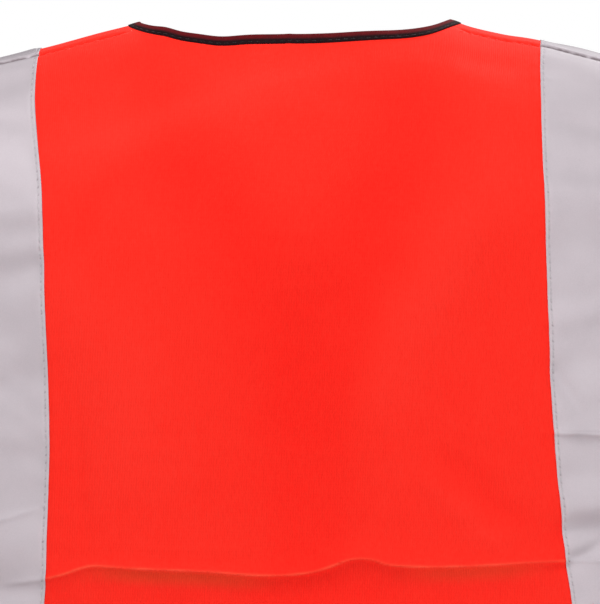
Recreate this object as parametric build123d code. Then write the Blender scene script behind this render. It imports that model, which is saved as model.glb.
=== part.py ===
"""High visibility vest: two reflective bands, two shoulder braces, bound edges and a separating front zip.

The vest stands open as if round a torso. Z is up, the front faces -Y, and the wearer's left is +X.
The origin is on the floor plane, in the middle of the vest's width and depth. All sizes are in millimetres.

Every fabric layer is a thin shell between two torso forms. A torso form is a four-arc oval seen from
above, met by a rounded roof that slopes down from the neck to the shoulder tips. The oval and the roof are
made of arcs, so a form that is bigger by a layer's thickness runs parallel to the one inside it.
"""

from build123d import *
from functools import lru_cache
from math import atan2, cos, degrees, radians, sin, tan
import os

# Body size
HALF_WIDTH = 250.0  # half the width across the chest
HALF_DEPTH = 95.0  # half the depth, front to back
SIDE_RADIUS = 65.0  # plan radius at the side seams
NECK_POINT_X = 92.5  # where the neck edge crosses the shoulder
NECK_POINT_Z = 680.0
SHOULDER_SLOPE = 13.4  # degrees below level, going outwards
RIDGE_RADIUS = 45.0  # roundness of the shoulder's top
ROOF_HEIGHT = 170.0  # how far below the ridge the front and back become vertical
SEAM_DROP = 4.0  # the shoulder seam lies this far below the ridge, on the back

# Cut edges
SHOULDER_TIP_X = 225.0
ARMHOLE_X = 211.0  # the armhole's innermost point
ARMHOLE_WAIST_Z = 530.0
ARMHOLE_Z = 390.0  # bottom of the armhole
BACK_NECK_DROP = 8.5
V_POINT_Z = 408.0  # where the sides of the V neck would meet
V_SLOPE = 3.1  # length along the centre line for each unit across a side of the V
FRONT_EDGE_X = 14.0  # the fabric stops this far from the centre line, beside the zip

# Layers: distances from the fabric's inner face
FABRIC = 1.0
LAYER_GAP = 0.05
TAPE = 0.5
BINDING = 0.6
BINDING_WIDTH = 6.0

# Reflective tapes
TAPE_WIDTH = 50.0
BRACE_INNER_X = 141.0  # inner edge of a brace at the shoulder
BRACE_FLARE = 5.0  # how much further out the brace is at its lower end
UPPER_BAND_Z = 285.0  # lower edge of each band
LOWER_BAND_Z = 75.0

# Fold line of each front, from the hem up to the neck edge. The fronts open about it.
FOLD_HEM_X = 140.0
FOLD_TOP_X = 58.0
FOLD_TOP_Z = 547.0
FOLD_GAP = 1.0  # half the slot between a front's fixed part and its flap

# Zip, with moulded teeth
ZIP_BOTTOM_Z = 9.0
ZIP_TOP_Z = 438.0
ZIP_TAPE = 0.8
ZIP_TAPE_OUTER_X = 26.0
TOOTH_TIP_X = 5.4
TOOTH_ROOT_X = 9.2
TOOTH_DEPTH = 2.6
TOOTH_PITCH = 3.0
FIRST_TOOTH_Z = 23.5
LAST_TOOTH_Z = 431.5
SLIDER_Z = 60.0  # slider's centre at rest
SLIDER_X = -4.0
SLIDER_HEIGHT = 14.0
SLIDER_HALF_WIDTH = 6.4
SLIDER_PLATE = 1.2
PULL_LENGTH = 30.0

FAR = 400.0  # reaches past everything
TOP = 800.0
SLOPE = tan(radians(SHOULDER_SLOPE))
RIDGE_Z = NECK_POINT_Z + NECK_POINT_X * SLOPE  # the roof's ridge carried on to the centre line
FACE_RADIUS = (  # plan radius of the front and back, tangent to the side arcs
    (HALF_WIDTH - SIDE_RADIUS) ** 2 + HALF_DEPTH**2 - SIDE_RADIUS**2
) / (2 * (HALF_DEPTH - SIDE_RADIUS))
ROOF_RADIUS = (  # radius of the roof's sides, tangent to the ridge arc and to the vertical walls
    HALF_DEPTH**2 + (ROOF_HEIGHT - RIDGE_RADIUS) ** 2 - RIDGE_RADIUS**2
) / (2 * (HALF_DEPTH - RIDGE_RADIUS))
EDGE_ROOM = BINDING + LAYER_GAP  # how far the fabric stops short of a bound edge
ZIP_TAPE_START = -EDGE_ROOM - LAYER_GAP  # the zip tape's outer face lies behind the bindings
ZIP_Y = -(HALF_DEPTH + ZIP_TAPE_START - ZIP_TAPE / 2)  # middle of the zip's thickness
SLIDER_GAP = TOOTH_DEPTH / 2 + 0.15  # from the middle of the zip to a slider plate
SLIDER_FRONT_Y = ZIP_Y - SLIDER_GAP - SLIDER_PLATE
BRIDGE_HEIGHT = 3.6
PULL_AXIS_Z = SLIDER_Z + 1.9
MIDDLE_Y = (HALF_DEPTH + FABRIC + EDGE_ROOM + SLIDER_FRONT_Y - BRIDGE_HEIGHT) / 2  # middle of the whole depth


def ridge_z(x):
    """Height of the shoulder's ridge at a distance x from the centre."""
    return RIDGE_Z - abs(x) * SLOPE


def block(low, high):
    size = [b - a for a, b in zip(low, high)]
    return Pos(*low) * Box(*size, align=(Align.MIN,) * 3)


def through(face):
    """A face drawn in X and Z, carried through the vest from front to back."""
    return extrude(Plane.XZ * face, FAR, both=True)


def region(*points):
    return through(make_face(Polyline(*points, close=True)))


def both_sides(shape):
    return shape + mirror(shape, about=Plane.YZ)


LEFT = block((0, -FAR, -FAR), (FAR, FAR, TOP))
FRONT_HALF = block((-FAR, -FAR, -FAR), (FAR, 0, TOP))
BACK_HALF = block((-FAR, 0, -FAR), (FAR, FAR, TOP))


def oval_prism(offset):
    """The torso seen from above, with vertical walls that start below the floor."""
    side_x = HALF_WIDTH - SIDE_RADIUS
    face_y = FACE_RADIUS - HALF_DEPTH
    half = degrees(atan2(side_x, face_y))
    big = FACE_RADIUS + offset
    small = SIDE_RADIUS + offset
    outline = Wire(
        [
            CenterArc((0, -face_y), big, 90 - half, 2 * half),
            CenterArc((-side_x, 0), small, 90 + half, 180 - 2 * half),
            CenterArc((0, face_y), big, 270 - half, 2 * half),
            CenterArc((side_x, 0), small, 270 + half, 180 - 2 * half),
        ]
    )
    return Pos(0, 0, -10) * extrude(Face(outline), TOP)


def roof(offset):
    """The shoulders: an arch carried outwards and down on both sides."""
    centre_y = ROOF_RADIUS - HALF_DEPTH
    lean = degrees(atan2(ROOF_HEIGHT - RIDGE_RADIUS, centre_y))
    wall = HALF_DEPTH + offset
    outline = Wire(
        [
            Line((wall, -TOP), (wall, -ROOF_HEIGHT)),
            CenterArc((-centre_y, -ROOF_HEIGHT), ROOF_RADIUS + offset, 0, lean),
            CenterArc((0, -RIDGE_RADIUS), RIDGE_RADIUS + offset, lean, 180 - 2 * lean),
            CenterArc((centre_y, -ROOF_HEIGHT), ROOF_RADIUS + offset, 180 - lean, lean),
            Line((-wall, -ROOF_HEIGHT), (-wall, -TOP)),
            Line((-wall, -TOP), (wall, -TOP)),
        ]
    )
    downhill = (cos(radians(SHOULDER_SLOPE)), 0, -sin(radians(SHOULDER_SLOPE)))
    section = Plane(origin=(0, 0, RIDGE_Z), x_dir=(0, 1, 0), z_dir=downhill)
    return both_sides(extrude(section * Face(outline), TOP, both=True) & LEFT)


@lru_cache(maxsize=None)
def torso(offset):
    return oval_prism(offset) & roof(offset)


@lru_cache(maxsize=None)
def layer(inner, outer):
    return torso(outer) - torso(inner)


def above_shoulder_seam(drop):
    """Everything behind the ridge and above a line that runs this far below it."""
    left = region((0, RIDGE_Z - drop), (FAR, ridge_z(FAR) - drop), (FAR, TOP), (0, TOP))
    return both_sides(left) & BACK_HALF


def inside_fold(shift):
    """The space in front between the centre plane and the left front's fold line, moved outwards by shift."""
    lean = (FOLD_HEM_X - FOLD_TOP_X) / FOLD_TOP_Z
    low, high = (FOLD_HEM_X - lean * z + shift for z in (-20, TOP))
    return region((0, -20), (low, -20), (high, TOP), (0, TOP)) & FRONT_HALF


def tangent_curve(waist, end):
    """An arc that leaves the waist vertically and passes through the end."""
    return TangentArc(waist, end, tangent=(0, end[1] - waist[1]))


@lru_cache(maxsize=None)
def armhole(amount):
    """The space the left arm goes through, grown by an amount."""
    waist = (ARMHOLE_X - amount, ARMHOLE_WAIST_Z)
    tip_x = SHOULDER_TIP_X - amount
    tip = (tip_x, ridge_z(tip_x) + 5)
    across = HALF_WIDTH - waist[0]
    drop = ARMHOLE_WAIST_Z - ARMHOLE_Z + amount
    radius = (across**2 + drop**2) / (2 * across)
    outline = Wire(
        [
            tangent_curve(waist, tip),
            Line(tip, (tip_x, TOP)),
            Line((tip_x, TOP), (FAR, TOP)),
            Line((FAR, TOP), (FAR, ARMHOLE_WAIST_Z - radius)),
            Line((FAR, ARMHOLE_WAIST_Z - radius), (waist[0] + radius, ARMHOLE_WAIST_Z - radius)),
            tangent_curve(waist, (waist[0] + radius, ARMHOLE_WAIST_Z - radius)),
        ]
    )
    return through(Face(outline))


@lru_cache(maxsize=None)
def neck(amount):
    """The space the neck goes through, grown by an amount: a shallow curve at the back, a V at the front."""
    x = NECK_POINT_X + amount
    low = NECK_POINT_Z - BACK_NECK_DROP - amount
    above = [Line((x, NECK_POINT_Z), (x, TOP)), Line((x, TOP), (-x, TOP)), Line((-x, TOP), (-x, NECK_POINT_Z))]
    curve = ThreePointArc((-x, NECK_POINT_Z), (0, low), (x, NECK_POINT_Z))
    point = (0, V_POINT_Z - V_SLOPE * amount)
    sides = [SagittaArc((-x, NECK_POINT_Z), point, 5), SagittaArc(point, (x, NECK_POINT_Z), 5)]
    behind = through(Face(Wire([curve] + above))) & BACK_HALF
    return behind + (through(Face(Wire(sides + above))) & FRONT_HALF)


def below_hem(amount):
    return block((-FAR, -FAR, -20), (FAR, FAR, amount))


def fabric():
    """The vest's shell with its neck, armholes, front opening and hem cut."""
    body = layer(0, FABRIC) - neck(EDGE_ROOM) - both_sides(armhole(EDGE_ROOM))
    return body - OPENING - below_hem(EDGE_ROOM)


def binding(grow):
    """A folded strip over an edge. grow(amount) is the space outside that edge, grown by an amount."""
    strip = (layer(-EDGE_ROOM, FABRIC + EDGE_ROOM) & grow(BINDING_WIDTH)) - grow(0)
    return strip - (layer(-LAYER_GAP, FABRIC + LAYER_GAP) - grow(BINDING))


def tape(outline):
    """A reflective tape on the outside of the fabric."""
    start = FABRIC + LAYER_GAP
    return layer(start, start + TAPE) & outline


def band_outline(low):
    return region((-FAR, low), (FAR, low), (FAR, low + TAPE_WIDTH), (-FAR, low + TAPE_WIDTH)) - OPENING


def brace_outline():
    foot = UPPER_BAND_Z + TAPE_WIDTH + 0.3
    foot_x = BRACE_INNER_X + BRACE_FLARE
    return region(
        (foot_x, foot), (foot_x + TAPE_WIDTH, foot), (BRACE_INNER_X + TAPE_WIDTH, TOP), (BRACE_INNER_X, TOP)
    )


OPENING = block((-FRONT_EDGE_X, -FAR, -20), (FRONT_EDGE_X, 0, TOP))
SHOULDER_STRIP = above_shoulder_seam(SEAM_DROP)
BACK = block((-FAR, 0.1, -20), (FAR, FAR, TOP)) - above_shoulder_seam(SEAM_DROP + 0.1)
FRONT = FRONT_HALF + SHOULDER_STRIP
FLAP = inside_fold(-FOLD_GAP)
FLAP_AND_SLOT = both_sides(inside_fold(FOLD_GAP))


def zip_tape():
    inner_x = TOOTH_ROOT_X + 0.1
    strip = block((inner_x, -FAR, ZIP_BOTTOM_Z), (ZIP_TAPE_OUTER_X, 0, ZIP_TOP_Z))
    return layer(ZIP_TAPE_START - ZIP_TAPE, ZIP_TAPE_START) & strip


def zip_block(x_low, x_high, depth, z_low, z_high):
    """A block in the middle of the zip's thickness."""
    return block((x_low, ZIP_Y - depth / 2, z_low), (x_high, ZIP_Y + depth / 2, z_high))


def zip_teeth():
    """A row of moulded teeth, each with a waist behind a wider head."""
    half = [(TOOTH_TIP_X, 0.5), (6.6, 0.75), (7.2, 0.45), (TOOTH_ROOT_X, 0.7)]
    outline = half + [(x, -z) for x, z in reversed(half)]
    tooth = extrude(Plane.XZ * make_face(Polyline(*outline, close=True)), TOOTH_DEPTH / 2, both=True)
    count = int((LAST_TOOTH_Z - FIRST_TOOTH_Z) / TOOTH_PITCH) + 1
    return [Pos(0, ZIP_Y, FIRST_TOOTH_Z + i * TOOTH_PITCH) * tooth for i in range(count)]


def zip_pin(z_low, z_high):
    """The round pin at the foot of the left row."""
    return Pos(8.0, ZIP_Y, (z_low + z_high) / 2) * Cylinder(0.9, z_high - z_low)


def zip_retainer():
    """The box at the foot of the right row, with its fixed pin and the socket for the left row's pin."""
    low = ZIP_BOTTOM_Z + 0.5
    box = zip_block(0.1 - TOOTH_ROOT_X, 1.4, 3.4, low, low + 7)
    box = fillet(box.edges().filter_by(Axis.Y), 0.8)
    box -= Pos(-0.6, ZIP_Y, low + 5) * Cylinder(1.1, 8)
    return box + mirror(zip_pin(low + 6, low + 12), about=Plane.YZ)


def slider_body():
    """Two plates held apart by a post, with rails that leave a slot for the tape, and a bridge in front."""
    low, high = SLIDER_Z - SLIDER_HEIGHT / 2, SLIDER_Z + SLIDER_HEIGHT / 2
    left, right = SLIDER_X - SLIDER_HALF_WIDTH, SLIDER_X + SLIDER_HALF_WIDTH
    body = zip_block(left, right, 2 * (SLIDER_GAP + SLIDER_PLATE), low, high)
    body = fillet(body.edges().filter_by(Axis.Y), 2.0)
    body -= zip_block(left + 0.9, right - 0.9, 2 * SLIDER_GAP, low, high)
    body -= zip_block(left, right, 2 * SLIDER_GAP, low, low + 2.2)
    body -= zip_block(left, right, 2 * SLIDER_GAP, high - 2.2, high)
    body -= zip_block(left, right, ZIP_TAPE + 0.6, low, high)
    body += zip_block(SLIDER_X - 1.1, SLIDER_X + 1.1, 2 * SLIDER_GAP, high - 6, high - 1)
    front = SLIDER_FRONT_Y
    bridge = block((SLIDER_X - 1.5, front - BRIDGE_HEIGHT, SLIDER_Z - 4), (SLIDER_X + 1.5, front, SLIDER_Z + 4.5))
    bridge = fillet(bridge.edges().filter_by(Axis.X).group_by(Axis.Y)[0], 1.4)
    bridge -= block((SLIDER_X - 2, front - 2.4, SLIDER_Z - 2.5), (SLIDER_X + 2, front, SLIDER_Z + 3))
    return body + bridge


def pull_tab():
    """A flat tab on a bar that turns inside the slider's bridge."""
    y = SLIDER_FRONT_Y - 1.2
    low = PULL_AXIS_Z - PULL_LENGTH
    plate = block((SLIDER_X - 3.8, y - 0.8, low), (SLIDER_X + 3.8, y + 0.8, PULL_AXIS_Z))
    plate = fillet(plate.edges().filter_by(Axis.Y).group_by(Axis.Z)[0], 2.6)
    plate -= block((SLIDER_X - 2.1, y - 1, PULL_AXIS_Z - 7.6), (SLIDER_X + 2.1, y + 1, PULL_AXIS_Z + 1))
    plate -= Pos(SLIDER_X, y, low + 4.2) * Rot(90, 0, 0) * Cylinder(1.5, 4)
    return plate + Pos(SLIDER_X, y, PULL_AXIS_Z) * Rot(0, 90, 0) * Cylinder(0.8, 7.6)


def build():
    """Every sub-part by name."""
    parts = {}

    def put_pair(name, shape):
        """A part on the wearer's left, and its mirror image on the right."""
        parts[name.format("left")] = shape
        parts[name.format("right")] = mirror(shape, about=Plane.YZ)

    cloth = fabric()
    parts["back_panel"] = cloth & BACK
    put_pair("front_{}_panel", (cloth & LEFT & FRONT) - FLAP_AND_SLOT)
    put_pair("front_{}_panel_flap", cloth & FLAP)
    put_pair("back_brace_tape_{}", tape(brace_outline()) & BACK)
    put_pair("front_brace_tape_{}", tape(brace_outline()) & FRONT)
    for name, low in (("upper", UPPER_BAND_Z), ("lower", LOWER_BAND_Z)):
        ring = tape(band_outline(low))
        parts[name + "_band_back"] = ring & BACK
        put_pair(name + "_band_{}", (ring & LEFT & FRONT_HALF) - FLAP_AND_SLOT)
        put_pair(name + "_band_{}_flap", ring & FLAP)
    for name, strip in (("neck", binding(neck)), ("hem", binding(below_hem))):
        parts[name + "_binding"] = strip - FLAP_AND_SLOT - OPENING
        put_pair(name + "_binding_{}_flap", (strip & FLAP) - OPENING)
    put_pair("armhole_binding_{}", binding(armhole))

    seam_x = HALF_WIDTH - EDGE_ROOM - 0.1
    put_pair("side_seam_{}", block((seam_x - 9, -0.7, BINDING_WIDTH + 1), (seam_x, 0.7, ARMHOLE_Z - 12)))
    label_start = -EDGE_ROOM - LAYER_GAP
    parts["neck_label"] = layer(label_start - 0.4, label_start) & block((-25, 0, 622), (25, FAR, 661))
    parts["care_label"] = block((seam_x - 48, 0.9, 135), (seam_x - 3, 1.3, 195))

    put_pair("zip_tape_{}", zip_tape())
    put_pair("zip_teeth_{}", Compound(zip_teeth()))
    put_pair("zip_top_stop_{}", zip_block(6.0, TOOTH_ROOT_X, 3.0, LAST_TOOTH_Z + 2, LAST_TOOTH_Z + 5))
    parts["zip_retainer"] = zip_retainer()
    parts["zip_insertion_pin"] = zip_pin(ZIP_BOTTOM_Z + 1, ZIP_BOTTOM_Z + 13)
    parts["zip_slider_body"] = slider_body()
    parts["zip_pull_tab"] = pull_tab()
    return parts


os.makedirs("parts", exist_ok=True)
for name, shape in build().items():
    placed = Pos(0, -MIDDLE_Y, 0) * shape
    export_step(Compound(placed.solids()), f"parts/{name}.step")
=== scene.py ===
"""High visibility vest: cloth, reflective tapes, bindings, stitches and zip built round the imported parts.

Lengths are in millimetres until new_mesh() turns them into metres. A place on the vest is (face, p, q): face
is +1 on the back and -1 on the front, p is the distance round from the centre line and q the distance up
from the hem. surface() turns such places into points, with every fold in the cloth, so that the cloth,
tapes, bindings and stitches all lie on the same folds.
"""

import bmesh
import bpy
import math
import numpy as np
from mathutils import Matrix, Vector


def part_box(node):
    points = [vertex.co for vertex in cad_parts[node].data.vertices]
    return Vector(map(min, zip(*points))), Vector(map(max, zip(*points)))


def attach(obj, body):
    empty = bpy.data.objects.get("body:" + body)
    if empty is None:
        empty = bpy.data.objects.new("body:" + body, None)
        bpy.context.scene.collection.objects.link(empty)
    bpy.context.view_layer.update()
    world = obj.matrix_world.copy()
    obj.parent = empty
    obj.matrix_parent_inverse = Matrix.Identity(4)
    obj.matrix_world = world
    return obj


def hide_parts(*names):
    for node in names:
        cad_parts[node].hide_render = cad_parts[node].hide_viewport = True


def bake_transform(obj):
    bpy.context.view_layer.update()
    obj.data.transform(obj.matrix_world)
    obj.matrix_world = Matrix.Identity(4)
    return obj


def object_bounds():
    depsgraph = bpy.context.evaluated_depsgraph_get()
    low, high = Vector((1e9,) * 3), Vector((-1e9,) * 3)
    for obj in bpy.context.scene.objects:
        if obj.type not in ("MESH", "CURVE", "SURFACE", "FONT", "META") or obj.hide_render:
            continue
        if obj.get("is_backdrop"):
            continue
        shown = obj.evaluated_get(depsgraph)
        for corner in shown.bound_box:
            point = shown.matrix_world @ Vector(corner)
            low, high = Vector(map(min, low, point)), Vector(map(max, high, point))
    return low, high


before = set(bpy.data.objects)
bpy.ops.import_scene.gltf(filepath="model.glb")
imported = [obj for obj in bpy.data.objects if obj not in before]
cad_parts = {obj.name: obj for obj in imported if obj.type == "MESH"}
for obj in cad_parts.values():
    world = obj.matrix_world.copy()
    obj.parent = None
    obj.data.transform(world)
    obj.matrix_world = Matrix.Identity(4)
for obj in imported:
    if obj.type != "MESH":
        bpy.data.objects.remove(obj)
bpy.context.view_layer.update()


def box_mm(node):
    low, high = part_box(node)
    return np.array(low) * 1000, np.array(high) * 1000


def z_range(node):
    return tuple(corner[2] for corner in box_mm(node))


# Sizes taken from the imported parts
MID_Y = sum(edge[1] for edge in box_mm("side_seam_left")) / 2
FABRIC = 1.0
HALF_WIDTH = box_mm("back_panel")[1][0] - FABRIC
HALF_DEPTH = box_mm("back_panel")[1][1] - MID_Y - FABRIC
BANDS = {"upper": z_range("upper_band_back"), "lower": z_range("lower_band_back")}
BRACE_FOOT = BANDS["upper"][1] + 0.05
OPENING_X = box_mm("front_left_panel_flap")[0][0]
ZIP_LOW, ZIP_HIGH = box_mm("zip_tape_left")

# The same forms as the parts
SIDE_RADIUS = 65.0
NECK_X, NECK_Z = 92.5, 680.0
SLOPE = math.tan(math.radians(13.4))
RIDGE_RADIUS = 45.0
ROOF_HEIGHT = 170.0
RIDGE_Z = NECK_Z + NECK_X * SLOPE
BACK_NECK_DROP = 8.5
V_POINT_Z = 408.0
V_BULGE = 21.1
SHOULDER_TIP_X = 225.0
ARMHOLE_X, ARMHOLE_WAIST_Z, ARMHOLE_Z = 211.0, 530.0, 390.0
SEAM_DROP = 4.0
BRACE_INNER_X, BRACE_FLARE, TAPE_WIDTH = 141.0, 5.0, 50.0
SIDE_P = HALF_WIDTH - SIDE_RADIUS + SIDE_RADIUS * math.pi / 2  # from the centre line round to a side seam
SHOULDER_CORE_X = 240.0  # over the shoulder, rays stay parallel out to here
BACK, FRONT = 1, -1
SIDES = (("left", 1), ("right", -1))

# Sewing
STITCH_PITCH = 4.4
STITCH_INSET = 2.0  # from a tape's edge to its stitches
THREAD_RADIUS = 0.2
OVERLOCK_RADIUS = 0.16
THREAD_SIDES = 6
STITCH_SHARE = 0.86  # how much of the pitch a stitch takes up
STITCH_RISE, STITCH_SUNK = 0.5, 0.36  # a stitch starts this deep and rises by this much
PINCH = 0.12  # how deep stitches draw a swept strip in
BINDING_LEG = 7.0  # how far a binding reaches in from the edge
FOLD_GIRTH = BINDING_LEG + 1.3  # from a binding's rim, over its outer side, to its fold
EDGE_ROOM = 0.6  # the cloth stops this far inside a bound edge
TAPE_OUT = 1.55  # outer side of a tape
CLOTH_THICKNESS, TAPE_THICKNESS, LABEL_THICKNESS = 0.6, 0.65, 0.35
ROW_STEP = 1.1  # between the outlines of a swept strip


# ---------------------------------------------------------------- shared sums

def step(x, low, high):
    """0 below low, 1 above high, smooth between them. Low may be the greater."""
    t = np.clip((x - low) / (high - low), 0, 1)
    return t * t * (3 - 2 * t)


def bell(x, centre, width):
    """1 at the centre, and falling away to 0 on both sides."""
    return np.exp(-(((x - centre) / width) ** 2))


def unit(vectors):
    return vectors / np.linalg.norm(vectors, axis=-1, keepdims=True)


def crossed(rows, columns):
    """Every pairing of two sets of lines, as two arrays."""
    return np.meshgrid(rows, columns, indexing="ij")


def column(*values):
    """Arrays of the same shape, as one list of places."""
    return np.stack(values, -1).reshape(-1, len(values))


# ---------------------------------------------------------------- the smooth form under the folds

def smooth_abs(x, soft=30.0):
    return np.sqrt(x * x + soft * soft) - soft * np.exp(-np.abs(x) / 90.0)


def ridge_z(x):
    return RIDGE_Z - smooth_abs(x) * SLOPE


def oval_distance(x, y):
    """Distance outside the four-arc oval seen from above."""
    side_x = HALF_WIDTH - SIDE_RADIUS
    radius = (side_x**2 + HALF_DEPTH**2 - SIDE_RADIUS**2) / (2 * (HALF_DEPTH - SIDE_RADIUS))
    centre = radius - HALF_DEPTH
    x, y = np.abs(x), np.abs(y)
    on_face = np.arctan2(x, y + centre) < math.atan2(side_x, centre)
    return np.where(on_face, np.hypot(x, y + centre) - radius, np.hypot(x - side_x, y) - SIDE_RADIUS)


def roof_distance(x, y, z):
    """Distance outside the arch over the shoulders."""
    rise = ROOF_HEIGHT - RIDGE_RADIUS
    radius = (HALF_DEPTH**2 + rise**2 - RIDGE_RADIUS**2) / (2 * (HALF_DEPTH - RIDGE_RADIUS))
    centre = radius - HALF_DEPTH
    lean = math.atan2(rise, centre)
    up = (z - ridge_z(x)) / math.hypot(1, SLOPE)
    y = np.abs(y)
    angle = np.arctan2(up + ROOF_HEIGHT, y + centre)
    side = np.hypot(y + centre, up + ROOF_HEIGHT) - radius
    top = np.hypot(y, up + RIDGE_RADIUS) - RIDGE_RADIUS
    return np.where(angle < 0, y - HALF_DEPTH, np.where(angle < lean, side, top))


def core_z(x):
    """Height where the rays that find the surface start to turn over the shoulder."""
    return ridge_z(x) - RIDGE_RADIUS * math.hypot(1, SLOPE)


OVERTURN = 2.6  # how far a ray may turn over the shoulder, in radians
RAY_REACH = 200.0  # the form is nearer than this to the middle that its rays start from


def bare_form(face, p, q):
    """Points of the form without folds, found along rays from its middle."""
    side_x = HALF_WIDTH - SIDE_RADIUS + (SHOULDER_CORE_X - HALF_WIDTH + SIDE_RADIUS) * step(q, 520, 600)
    core_x = np.clip(p, -side_x, side_x)
    turn = (p - core_x) / SIDE_RADIUS
    top = core_z(core_x)
    over = np.clip((q - top) / RIDGE_RADIUS, 0, OVERTURN)
    ray = np.stack([np.sin(turn) * np.cos(over), face * np.cos(turn) * np.cos(over), np.sin(over)], -1)
    start = np.stack([core_x, np.zeros_like(core_x), np.minimum(q, top)], -1)
    near, far = np.zeros_like(p), np.full_like(p, RAY_REACH)
    for _ in range(30):
        middle = (near + far) / 2
        point = start + ray * middle[..., None]
        x, y, z = point[..., 0], point[..., 1], point[..., 2]
        outside = np.maximum(oval_distance(x, y), roof_distance(x, y, z)) > 0
        far = np.where(outside, middle, far)
        near = np.where(outside, near, middle)
    return start + ray * ((near + far) / 2)[..., None] + np.array([0, MID_Y, 0])


def blurred(values, cells):
    """Gaussian blur along the first two axes."""
    reach = int(3 * cells)
    weights = np.exp(-0.5 * (np.arange(-reach, reach + 1) / cells) ** 2)
    weights /= weights.sum()
    for axis in (0, 1):
        pad = [(0, 0)] * values.ndim
        pad[axis] = (reach, reach)
        padded = np.pad(values, pad, mode="reflect", reflect_type="odd")
        size = values.shape[axis]
        values = sum(w * np.take(padded, np.arange(i, i + size), axis=axis) for i, w in enumerate(weights))
    return values


FORM_STEP = 2.5
FORM_BLUR = 3.2  # in grid cells: it rounds the corners where the form's arcs meet
FORM_P = np.arange(-317.5, 318.0, FORM_STEP)
FORM_Q = np.arange(-40.0, 771.0, FORM_STEP)
FORM = {}
for face in (BACK, FRONT):
    grid_p, grid_q = crossed(FORM_P, FORM_Q)
    points = blurred(bare_form(face, grid_p, grid_q), FORM_BLUR)
    along_p = np.gradient(points, FORM_STEP, axis=0)
    along_q = np.gradient(points, FORM_STEP, axis=1)
    normals = face * -np.cross(along_p, along_q)
    normals /= np.maximum(np.linalg.norm(normals, axis=-1, keepdims=True), 1e-9)
    FORM[face] = np.concatenate([points, normals], -1)


def cubic_weights(t):
    """Catmull-Rom weights of four neighbours."""
    before, here = 0.5 * (-t + 2 * t**2 - t**3), 0.5 * (2 - 5 * t**2 + 3 * t**3)
    ahead, beyond = 0.5 * (t + 4 * t**2 - 3 * t**3), 0.5 * (t**3 - t**2)
    return np.stack([before, here, ahead, beyond], -1)


def interpolated(grid, size, p, q):
    """Values between the points of a grid that starts at FORM_P[0], FORM_Q[0]."""
    a = np.clip((p - FORM_P[0]) / size, 1, grid.shape[0] - 2.001)
    b = np.clip((q - FORM_Q[0]) / size, 1, grid.shape[1] - 2.001)
    i, j = a.astype(int), b.astype(int)
    wa, wb = cubic_weights(a - i), cubic_weights(b - j)
    total = 0
    for m in range(4):
        for n in range(4):
            ii = np.clip(i + m - 1, 0, grid.shape[0] - 1)
            jj = np.clip(j + n - 1, 0, grid.shape[1] - 1)
            weight = wa[..., m] * wb[..., n]
            total = total + grid[ii, jj] * (weight if grid.ndim == 2 else weight[..., None])
    return total


def form(face, p, q):
    """Points and normals of the smooth form."""
    values = interpolated(FORM[face], FORM_STEP, p, q)
    return values[..., :3], values[..., 3:]


# ---------------------------------------------------------------- folds

def path_distance(x, z, points):
    """Signed distance from a polyline and the place along it, from 0 to 1."""
    points = np.array(points, float)
    lengths = np.linalg.norm(np.diff(points, axis=0), axis=1)
    best = np.full(x.shape, 1e9)
    signed = np.zeros(x.shape)
    along = np.zeros(x.shape)
    for k, (a, b) in enumerate(zip(points[:-1], points[1:])):
        d = b - a
        t = np.clip(((x - a[0]) * d[0] + (z - a[1]) * d[1]) / (d @ d), 0, 1)
        dx, dz = x - a[0] - t * d[0], z - a[1] - t * d[1]
        distance = np.hypot(dx, dz)
        closer = distance < best
        best = np.where(closer, distance, best)
        signed = np.where(closer, distance * np.sign(d[0] * dz - d[1] * dx), signed)
        along = np.where(closer, (lengths[:k].sum() + t * lengths[k]) / lengths.sum(), along)
    return signed, along


def smooth_path(points, rounds=3):
    """Corner cutting, so that a fold drawn with a few points bends smoothly."""
    points = [np.array(p, float) for p in points]
    for _ in range(rounds):
        cut = [points[0]]
        for a, b in zip(points[:-1], points[1:]):
            cut += [0.75 * a + 0.25 * b, 0.25 * a + 0.75 * b]
        points = cut + [points[-1]]
    return np.array(points)


# The hard crease that packing left across the back, in p and q, from the left side to the right
PACKING_CREASE = [(168, 364), (139, 368), (121, 375), (110, 374), (86, 372.5), (56, 371.5), (26, 368.5),
                  (0, 369.5), (-15, 374), (-24, 378), (-36, 378), (-47, 373), (-98, 373), (-127, 375),
                  (-178, 375)]

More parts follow.
